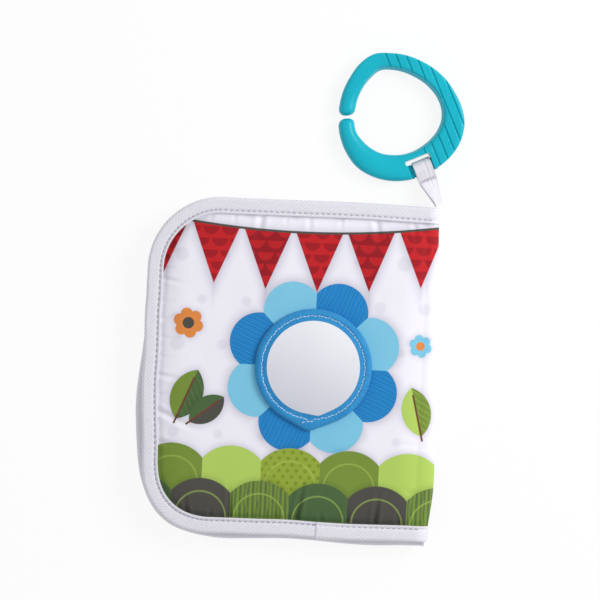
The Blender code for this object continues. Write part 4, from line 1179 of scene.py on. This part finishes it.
class Print(Look):
    """Printed cloth: flat motifs given by signed distances in millimetres, in book coordinates."""

    def __init__(self, name, ground, source="Object", scale=MM_IN_METRE):
        super().__init__(name, 0.66, Sheen_Weight=0.05, Sheen_Roughness=0.5, Specular_IOR_Level=0.16)
        self.x, self.y, _ = self.place(source, scale)
        self.colour = ground

    def lay(self, colour, distance, soft=0.3):
        """A flat motif, laid on what is printed so far."""
        self.colour = self.paint(self.colour, colour, self.inside(distance, soft))

    def cast(self, distance, reach=7.0, depth=0.55):
        """The soft grey shadow that is printed round a motif."""
        fall = self.math("MULTIPLY_ADD", distance, -1 / reach, 1.0, clamp=True)
        self.colour = self.shade(self.colour, SHADE_GREY, fall * fall * depth)

    def dots(self, colour, pitch=25.0, radius=3.6):
        """Dots of unlike sizes in staggered rows: each cell keeps one, sized by chance."""
        row = (self.y / pitch).floor()
        shifted = self.x / pitch + (row % 2) * 0.5
        column = shifted.floor()
        size = self.chance(column, row) * (radius * 0.55) + radius * 0.6
        off = self.length((shifted - column - 0.5) * pitch, (self.y / pitch - row - 0.5) * pitch)
        self.lay(colour, off - size, 1.6)

    def small_dots(self, under, colour, pitch=4.9, rise=3.4, radius=1.0):
        """Rows of even small dots, every other row shifted."""
        row = (self.y / rise).floor()
        off_x = (self.x + (row % 2) * (pitch / 2)).near(pitch)
        off_y = (self.y / rise - row - 0.5) * rise
        return self.paint(under, colour, self.inside(self.length(off_x, off_y) - radius, 0.8))

    def lines(self, under, colour, across, pitch, share=0.5):
        """Uneven drawn lines: a sine whose phase wanders with a slow noise."""
        wander, step = self.noise(90.0, 2.0) * 5.0, math.tau / pitch
        wave = (across * step + wander).sin() + (across * (step * 0.63) - wander).sin() * 0.7
        return self.paint(under, colour, self.inside(wave * -1.0, 1.2) * share)

    def half_rounds(self, under, colour, pitch=10.4, rise=6.6, radius=4.5, below=0.5):
        """Rows of half rounds with their flat side up, every other row shifted."""
        row = (self.y / rise).floor()
        off_x = (self.x + (row % 2) * (pitch / 2)).near(pitch)
        drop = self.y - (row + 1) * rise + below
        shape = self.most(self.length(off_x, drop) - radius, drop)
        return self.paint(under, colour, self.inside(shape, 0.5) * 0.8)

    def flower(self, cx, cy, middle, petal, count, turn=0.0):
        """Round petals in equal sectors about a centre. Gives the outline's distance, the sector's number,
        and the distances from the petal's own axis and from the centre."""
        dx, dy = self.x - cx, self.y - cy
        sector = math.tau / count
        angle = self.math("ARCTAN2", dy, dx) + (turn + sector / 2 + math.tau)
        number = (angle / sector).floor()
        local = angle % sector - sector / 2
        far = self.length(dx, dy)
        along = far * self.math("COSINE", local) - middle
        across = far * local.sin()
        shape = self.least(self.length(along, across) - petal, far - middle)
        return shape, number, across, far

    def bunting(self):
        """A string of pennants across the top: triangles that hang from a shallow parabola."""
        pitch, half, drop = 29.0, 13.2, 33.0
        middle, reach, sag, lowest = 4.0, 82.0, 7.0, 77.5
        bow = (self.x - middle) / reach
        hang = (bow * bow * sag + lowest) - self.y
        place = self.x - 14.1
        off = place.near(pitch)
        number = ((place + pitch / 2) / pitch).floor()
        slope = half / drop
        side = (off.abs() - half + hang * slope) * (1 / math.hypot(1, slope))
        shape = self.most(side, hang * -1.0)
        odd = number % 2
        plain = self.paint(RED, DARK_RED, odd)
        scales = self.paint(DARK_RED, RED, odd)
        self.cast(shape)
        self.lay(self.half_rounds(plain, scales), shape)
        self.lay(GREY_OLIVE, hang.abs() - 0.65)

    def bushes(self, base, radius, shift, colours):
        """A row of round bushes of the given paints in turn, filled down from their centres' line."""
        pitch = 33.0
        place = self.x - shift
        off = place.near(pitch)
        number = ((place + pitch / 2) / pitch).floor()
        lift = self.y - base
        far = self.length(off, lift)
        shape = self.least(far - radius, lift)
        self.cast(shape, 5.0, 0.45)
        paint = colours[0]
        for order, colour in enumerate(colours[1:], 1):
            is_turn = self.math("COMPARE", number % len(colours), float(order), 0.1)
            paint = self.paint(paint, colour, is_turn)
        self.lay(paint, shape)
        ring = (far - radius * 0.66).abs() - 0.45
        inner = self.most(ring, lift * -1.0)
        self.colour = self.paint(self.colour, PALE_LIME, self.inside(inner, 0.5) * 0.4)

    def leaf_motif(self, cx, cy, heading, size, light, dark):
        """A pointed leaf, the overlap of two circles, in two tones with a stalk along its middle."""
        turn = math.radians(heading)
        dx, dy = self.x - cx, self.y - cy
        along = dx * math.cos(turn) + dy * math.sin(turn)
        across = dy * math.cos(turn) - dx * math.sin(turn)
        shift = size * 0.55
        circle = math.hypot(size, shift)
        shape = self.length(along, across.abs() + shift) - circle
        self.cast(shape, 5.0, 0.4)
        veins = (along + across.abs()).near(4.2).abs() - 0.25
        tone = self.paint(light, dark, self.inside(across, 0.3))
        tone = self.paint(tone, light, self.inside(veins, 0.5) * 0.45)
        self.lay(tone, shape)
        stalk = self.most(across.abs() - 0.55, (along + size * 0.25).abs() - size * 0.95)
        self.lay(BROWN, stalk)

    def garden(self, shift, far_row, near_row):
        """Two rows of bushes along the foot, the nearer one half a bush further on."""
        self.bushes(-65.0, 21.5, shift, far_row)
        self.bushes(-84.0, 21.5, shift + 16.5, near_row)

    def small_flower(self, cx, cy, size, petals, heart):
        """A flower of six petals with a round heart."""
        shape, _, _, far = self.flower(cx, cy, size * 0.6, size * 0.4, 6, 0.3)
        self.cast(shape, 4.0, 0.35)
        self.lay(petals, shape)
        self.lay(heart, far - size * 0.38)

    def finish(self, pitch=0.34):
        """The print on a fine plain weave."""
        return self.coat(self.colour).bump(weave(self.x, self.y, pitch), 0.035, 0.5).material


def front_cover_look():
    """Dotted ground, bunting above, a large eight-petalled flower behind the mirror, bushes below."""
    cloth = Print("printed_front_cover", WHITE_CLOTH)
    cloth.dots(DOT_GREY)
    cloth.bunting()
    shape, number, across, _ = cloth.flower(14.1, 2.4, 33.5, 16.5, 8, math.radians(22.5))
    cloth.cast(shape)
    ribbed = cloth.lines(BLUE, DEEP_BLUE, across, 1.5, 0.7)
    cloth.lay(cloth.paint(ribbed, LIGHT_BLUE, number % 2), shape)
    cloth.leaf_motif(-56.0, -16.0, 68.0, 15.0, OLIVE, DARK_GREEN)
    cloth.leaf_motif(-44.5, -24.0, 38.0, 12.0, DARK_GREEN, GREY_OLIVE)
    cloth.leaf_motif(73.0, -20.0, 104.0, 14.0, PALE_LIME, OLIVE)
    cloth.small_flower(-57.0, 24.0, 8.5, ORANGE, GREY_OLIVE)
    cloth.small_flower(73.5, 17.0, 6.5, LIGHT_BLUE, ORANGE)
    dotted = cloth.small_dots(LIME, DEEP_LIME)
    stripes = cloth.lines(OLIVE, DARK_GREEN, cloth.x, 2.3, 0.8)
    cloth.garden(4.0, (dotted, OLIVE, PALE_LIME), (DARK_GREEN, GREY_OLIVE, stripes))
    return cloth.finish()


def spine_look():
    """The front cover's ground, bunting and bushes, carried on round the fold by the strip's UVs."""
    cloth = Print("printed_spine", WHITE_CLOTH, "UV", MM_IN_UV)
    cloth.x = cloth.x * -1.0 + SPINE_PRINT_X
    cloth.dots(DOT_GREY)
    cloth.bunting()
    dotted = cloth.small_dots(LIME, DEEP_LIME)
    cloth.garden(4.0, (dotted, OLIVE, PALE_LIME), (DARK_GREEN, GREY_OLIVE, OLIVE))
    return cloth.finish()


def back_cover_look():
    """Dotted ground with a band of bushes and three flowers."""
    cloth = Print("printed_back_cover", WHITE_CLOTH)
    cloth.dots(DOT_GREY)
    shape, number, across, far = cloth.flower(0.0, 22.0, 21.0, 11.0, 8, 0.0)
    cloth.cast(shape)
    ribbed = cloth.lines(RED, DARK_RED, across, 1.6, 0.6)
    cloth.lay(cloth.paint(ribbed, ORANGE, number % 2), shape)
    cloth.lay(BLUE, far - 12.0)
    cloth.small_flower(-48.0, 60.0, 9.0, LIGHT_BLUE, ORANGE)
    cloth.small_flower(46.0, 62.0, 9.0, BLUE, WHITE_CLOTH)
    cloth.leaf_motif(-44.0, -12.0, 120.0, 13.0, OLIVE, DARK_GREEN)
    cloth.leaf_motif(44.0, -12.0, 60.0, 13.0, PALE_LIME, OLIVE)
    dotted = cloth.small_dots(LIME, DEEP_LIME)
    cloth.garden(0.0, (PALE_LIME, dotted, OLIVE), (GREY_OLIVE, DARK_GREEN))
    return cloth.finish()


def inner_look(name, ground, dot, row_paints, flower_paints):
    """A plain pattern for a face inside the book: dots, a row of bushes and a flower."""
    cloth = Print(name, ground)
    cloth.dots(dot, 17.0, 3.2)
    shape, number, _, far = cloth.flower(4.0, 14.0, 26.0, 13.0, 6, 0.2)
    cloth.cast(shape, 5.0, 0.3)
    cloth.lay(cloth.paint(flower_paints[0], flower_paints[1], number % 2), shape)
    cloth.lay(flower_paints[2], far - 13.0)
    cloth.bushes(-68.0, 21.0, 6.0, row_paints)
    return cloth.finish()


# Ground, dots, bushes and flower of each face inside the book
INNER_PRINTS = {
    "front_inside": (PALE_BLUE, WHITE_CLOTH, (OLIVE, PALE_LIME), (ORANGE, RED, CREAM)),
    "back_inside": (CREAM, PALE_BLUE, (DARK_GREEN, LIME, OLIVE), (BLUE, LIGHT_BLUE, ORANGE)),
    "page_front": (CREAM, ORANGE, (LIME, DARK_GREEN), (LIGHT_BLUE, BLUE, WHITE_CLOTH)),
    "page_back": (WHITE_CLOTH, LIGHT_BLUE, (PALE_LIME, OLIVE), (RED, DARK_RED, ORANGE)),
}


def tape_look():
    """Undyed ribbed cotton: pale along the ribs, with painted shade in the hollows between them, and a slow
    noise that makes this shade and a darker tone patchy.
    """
    look = Look("bias_tape", 0.85, Sheen_Weight=0.1, Sheen_Roughness=0.5, Specular_IOR_Level=0.15)
    along, across, _ = look.place("UV", MM_IN_UV)
    rib_phase = (along + across) * (math.pi / (RIB_PITCH / MM * math.sqrt(2)))
    rib_hollow_shade = rib_phase.sin().abs()
    patchy = look.noise(60.0, 3.0, "UV")
    # Painted shade in the hollows between the ribs, patchy by the noise, then a patchy darker tone of the
    # cotton
    colour = look.paint(display(240, 239, 245), display(206, 204, 216), rib_hollow_shade * rib_hollow_shade * patchy * 0.7)
    colour = look.paint(colour, display(216, 213, 224), patchy * 0.3)
    threads = weave(along + across, along - across, 0.5)
    return look.coat(colour).bump(threads, 0.06, 0.7).material


def thread_look(name, colour, shade):
    """Twisted thread."""
    look = Look(name, 0.7, Sheen_Weight=0.2)
    fibre = look.noise(900.0, 2.0)
    return look.coat(look.paint(colour, shade, fibre)).bump(fibre, 0.08, 0.6).material


def frame_look():
    """Dyed cotton with a fine diagonal rib and paler threads."""
    look = Look("mirror_frame_cloth", 0.72, Sheen_Weight=0.15, Specular_IOR_Level=0.3)
    x, y, _ = look.place()
    tone = look.noise(140.0, 4.0)
    colour = look.paint(display(28, 132, 196), display(54, 156, 212), tone)
    fine = weave(x + y, x - y, 0.55)
    return look.coat(look.paint(colour, display(20, 110, 178), fine * 0.25)).bump(fine, 0.07, 0.7).material


def mirror_look():
    """Soft mirror film: metal, a little hazy, with slow unevenness, and a painted reflection, light at the
    upper right and darker towards the lower left.
    """
    look = Look("mirror_film_metal", 0.12, Metallic=1.0)
    haze = look.noise(28.0, 1.0)
    x, y, _ = look.place()
    # Painted reflection: the film's colour darkens from the upper right to the lower left, broken up by the
    # haze
    painted_reflection_dimming = look.math("MULTIPLY_ADD", y * 0.9 + x * 0.45 - haze * 14.0, -1 / 60.0, 0.42, clamp=True)
    colour = look.paint(display(238, 239, 244), display(188, 190, 203), painted_reflection_dimming)
    return look.coat(colour).bump(haze, 0.25, 0.25).material


def ring_look():
    """Moulded plastic: satin gloss, a faint flow in the colour and a fine spark texture."""
    look = Look("ring_plastic_satin", 0.3, Specular_IOR_Level=0.2, Coat_Weight=0.04, Coat_Roughness=0.2)
    flow, spark = look.noise(30.0, 1.0), look.noise(1800.0, 2.0)
    colour = look.paint(display(2, 170, 191), display(18, 188, 206), flow)
    return look.coat(colour).bump(spark, 0.02, 0.35).material


def ribbon_look():
    """Satin tape: long floats along it and fine cross threads, woven edges a little greyer."""
    look = Look("ribbon_satin", 0.42, Sheen_Weight=0.2, Specular_IOR_Level=0.5)
    along, across, _ = look.place("UV", MM_IN_UV)
    cross = (along * (math.tau / 0.45)).sin()
    edge = look.math("SMOOTH_MIN", (across.abs() - 4.2) * 1.4, 1.0, 0.2)
    clear = look.most(edge, 0.0)
    colour = look.paint(display(229, 227, 233), display(202, 200, 210), clear * 0.5)
    threads = cross + (across * (math.tau / 0.5)).sin() * 0.5
    return look.coat(colour).bump(threads, 0.05, 0.6).material


def plain_look(name, colour, shade, roughness, scale):
    """A material whose tone and surface vary with one noise."""
    look = Look(name, roughness)
    grain = look.noise(scale)
    return look.coat(look.paint(colour, shade, grain)).bump(grain, 0.1, 0.5).material


# Pieces

def add_cover(name, leaf, creases, looks, join):
    """The pieces of one cover: pad, lining, film, tape and two rows of stitches."""
    print_look, lining_look, tape, thread, film = looks
    body = f"{name}_cover"
    pad = add_piece(f"{body}_pad", cover_pad(leaf, creases), print_look)
    fit(pad, body, "cover_cloth", f"{body}_cloth", f"{body}_wadding")
    shape = flat_sheet(leaf, PAD_INSET, LINING_START, *LINING, soft_wave)
    lining = add_piece(f"{body}_inside", shape, lining_look)
    fit(lining, body, "lining_cloth", f"{body}_lining")
    flat, area = cut_size(leaf, PAD_INSET, LINING_START)
    crinkle = flat_sheet(leaf, PAD_INSET + MM, FILM_START, *COVER_FILM, crumpled(FILM_CRUMPLE))
    fit(add_piece(f"{body}_film", crinkle, film), body, "crinkle_film", f"{body}_crinkle_film")
    shape, uvs = bound_tape(leaf, TAPE_END, TAPE_ROUND, cover_tape_heights, TAPE_STEP, join)
    fit(add_piece(f"{body}_tape", shape, tape, uvs), body, "binding_tape", f"{body}_binding")
    for face, side in (("outer", 1), ("inner", -1)):
        stitches = seam_stitches(leaf, cover_tape_heights, side)
        fit(add_piece(f"{body}_{face}_stitches", stitches, thread), body, "binding_tape")


def add_page(looks, tape, thread, film):
    """The inner page: two printed cloths, the film between them, tape and stitches."""
    flat, area = cut_size(PAGE, PAGE_INSET, PAGE_START)
    for name, look, side in (("front", looks[0], 1), ("back", looks[1], -1)):
        bottom, top = PAGE_CLOTH if side > 0 else (-PAGE_CLOTH[1], -PAGE_CLOTH[0])
        shape = flat_sheet(PAGE, PAGE_INSET, PAGE_START, bottom, top, soft_wave)
        cloth = add_piece(f"page_{name}_sheet", shape, look)
        fit(cloth, "inner_page", "page_cloth", f"page_{name}_cloth")
    crinkle = flat_sheet(PAGE, PAGE_INSET + MM, PAGE_START, *PAGE_FILM, crumpled(PAGE_CRUMPLE))
    fit(add_piece("page_film", crinkle, film), "inner_page", "crinkle_film", "page_crinkle_film")
    shape, uvs = bound_tape(PAGE, PAGE_STUB, PAGE_ROUND, page_tape_heights, PAGE_TAPE_STEP)
    fit(add_piece("page_tape", shape, tape, uvs), "inner_page", "binding_tape", "page_binding")
    for face, side in (("front", 1), ("back", -1)):
        stitches = seam_stitches(PAGE, page_tape_heights, side)
        fit(add_piece(f"page_{face}_stitches", stitches, thread), "inner_page", "binding_tape")


def add_spine(cloth, tape):
    """The cloth and the tape's two ends that bend round the crease from cover to cover."""
    low, high = FRONT["foot"] + TAPE_WIDTH - SPINE_LAP, FRONT["top"] - TAPE_WIDTH + SPINE_LAP
    bands = (
        ("spine_fold", low, high, False),
        ("spine_tape_top", high - SPINE_LAP, FRONT["top"], True),
        ("spine_tape_foot", FRONT["foot"], low + SPINE_LAP, True),
    )
    for name, foot, top, ribbed in bands:
        shape, uvs = spine_wrap(foot, top, ribbed)
        piece = add_piece(name, shape, tape if ribbed else cloth, uvs)
        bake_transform(piece)
        if not ribbed:
            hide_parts("spine_strip")


def add_mirror(cloth, thread, metal, felt):
    """Frame, stitches, mirror film and felt, in the places of their nodes."""
    low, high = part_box("mirror_film")
    frame_low, frame_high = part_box("mirror_frame")
    centre = np.array([(frame_low.x + frame_high.x) / 2, (low.y + high.y) / 2])
    rim = mirror_frame_shape(centre, frame_low.z - MIRROR_DENT, frame_high.z)
    fit(add_piece("mirror_bound_frame", rim, cloth), "front_cover", "mirror_frame", "mirror_frame")
    stitches = frame_stitches(centre, frame_high.z)
    fit(add_piece("mirror_frame_stitches", stitches, thread), "front_cover", "mirror_frame")
    radius = (high.x - low.x) / 2
    film = disc_between(centre, radius, low.z, high.z, MIRROR_BOW)
    fit(add_piece("mirror_sheet", film, metal), "front_cover", "mirror_film", "mirror_film")
    felt_low, felt_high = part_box("mirror_backing")
    pad = disc_between(centre, radius, felt_low.z, felt_high.z, 0)
    fit(add_piece("mirror_felt", pad, felt), "front_cover", "mirror_backing", "mirror_backing")


def add_ring_and_ribbon(thread):
    """The clip ring, and the ribbon with its stitches."""
    fit(clip_ring(ring_look()), "ring", "ring_plastic", "clip_ring")
    shape, uvs = ribbon_shape()
    fit(add_piece("ribbon_tape", shape, ribbon_look(), uvs), "ribbon", "ribbon", "hanging_ribbon")
    fit(add_piece("ribbon_stitches", ribbon_stitches(), thread), "ribbon", "ribbon")


# Scene

VIEW_CENTRE = (4.8 * MM, 39.7 * MM)
VIEW_TURN = math.radians(2.785)
VIEW_WIDTH = 336 * MM
VIEW_DISTANCE = 1.3
SENSOR = 36.0


def add_camera():
    """Straight above the book: the photograph's 600 pixels span the view's width at the cover."""
    data = bpy.data.cameras.new("camera")
    data.sensor_width = SENSOR
    data.lens = SENSOR * VIEW_DISTANCE / VIEW_WIDTH
    camera = bpy.data.objects.new("camera", data)
    cover_z = HINGE_Z + CLOTH_TOP + CROWN
    camera.location = (*VIEW_CENTRE, cover_z + VIEW_DISTANCE)
    camera.rotation_euler = (0, 0, VIEW_TURN)
    bpy.context.scene.collection.objects.link(camera)
    bpy.context.scene.camera = camera


LAMP_PLACE = (0.76, 0.39, 0.72)
LAMP_SIZE = 0.5
LAMP_POWER = 6.7
ROOM_LIGHT = 0.62
FLOOR_GLOW = 0.87
FLOOR_HALF = 3.0
FLOOR_Z = -0.3 * MM


def seen_rays(tree):
    """1 for rays from the camera, and for rays that a glossy or clear surface sends on."""
    path = tree.nodes.new("ShaderNodeLightPath")
    factor = path.outputs["Is Camera Ray"]
    for ray in ("Is Glossy Ray", "Is Transmission Ray"):
        either = tree.nodes.new("ShaderNodeMath")
        either.operation = "MAXIMUM"
        tree.links.new(factor, either.inputs[0])
        tree.links.new(path.outputs[ray], either.inputs[1])
        factor = either.outputs[0]
    return factor


def add_light():
    """Even light from all round, and a soft square lamp near the book, high on its right."""
    softbox = bpy.data.lights.new("softbox", "AREA")
    softbox.energy = LAMP_POWER
    softbox.size = LAMP_SIZE
    lamp = bpy.data.objects.new("softbox", softbox)
    lamp.location = LAMP_PLACE
    across = math.hypot(*LAMP_PLACE[:2])
    lamp.rotation_euler = (0, math.atan2(across, LAMP_PLACE[2]), math.atan2(LAMP_PLACE[1], LAMP_PLACE[0]))
    bpy.context.scene.collection.objects.link(lamp)
    world = bpy.data.worlds.new("studio")
    bpy.context.scene.world = world
    world.use_nodes = True
    nodes, links = world.node_tree.nodes, world.node_tree.links
    nodes.clear()
    room, seen = nodes.new("ShaderNodeBackground"), nodes.new("ShaderNodeBackground")
    room.inputs["Color"].default_value = (0.98, 0.98, 1.0, 1)
    room.inputs["Strength"].default_value = ROOM_LIGHT
    seen.inputs["Strength"].default_value = 1.0
    seen.inputs["Color"].default_value = (1, 1, 1, 1)
    mix, out = nodes.new("ShaderNodeMixShader"), nodes.new("ShaderNodeOutputWorld")
    links.new(seen_rays(world.node_tree), mix.inputs[0])
    links.new(room.outputs[0], mix.inputs[1])
    links.new(seen.outputs[0], mix.inputs[2])
    links.new(mix.outputs[0], out.inputs["Surface"])


def add_floor():
    """A plain white floor just under the book, part of whose white is its own to what looks at it."""
    corners = ((-1, -1), (1, -1), (1, 1), (-1, 1))
    corners = [(x * FLOOR_HALF, y * FLOOR_HALF, FLOOR_Z) for x, y in corners]
    mesh = bpy.data.meshes.new("floor")
    mesh.from_pydata(corners, [], [(0, 1, 2, 3)])
    look = Look("floor_white", 0.9, Specular_IOR_Level=0.0)
    look.coat((0.97, 0.97, 0.97, 1))
    tree = look.tree
    glow = look.node("ShaderNodeEmission", {"Color": (1, 1, 1, 1), "Strength": 1.0})
    share = look.math("MULTIPLY", Field(look, seen_rays(tree)), FLOOR_GLOW)
    lit = Field(look, look.shader.outputs[0])
    mixed = look.node("ShaderNodeMixShader", {0: share, 1: lit, 2: glow})
    tree.links.new(mixed.socket, tree.nodes["Material Output"].inputs["Surface"])
    mesh.materials.append(look.material)
    floor = bpy.data.objects.new("floor", mesh)
    bpy.context.scene.collection.objects.link(floor)


def main():
    """All materials, pieces, camera, light and floor."""
    tape = tape_look()
    grey_thread = thread_look("seam_thread", display(196, 193, 205), display(160, 157, 170))
    white_thread = thread_look("white_thread", display(250, 250, 252), display(222, 230, 240))
    film = plain_look("crinkle_film_clear", display(214, 222, 228), display(190, 200, 208), 0.25, 60.0)
    insides = {name: inner_look(f"printed_{name}", *paints) for name, paints in INNER_PRINTS.items()}
    cover_looks = front_cover_look(), insides["front_inside"], tape, grey_thread, film
    add_cover("front", FRONT, FRONT_CREASES, cover_looks, tape_join())
    cover_looks = back_cover_look(), insides["back_inside"], tape, grey_thread, film
    add_cover("back", BACK, back_creases(), cover_looks, None)
    add_page((insides["page_front"], insides["page_back"]), tape, grey_thread, film)
    add_spine(spine_look(), tape)
    felt = plain_look("felt", display(234, 234, 230), display(220, 220, 216), 0.95, 300.0)
    add_mirror(frame_look(), white_thread, mirror_look(), felt)
    add_ring_and_ribbon(grey_thread)
    add_camera()
    add_light()
    add_floor()
    bpy.context.scene.view_settings.view_transform = "Standard"


main()
bpy.context.view_layer.update()
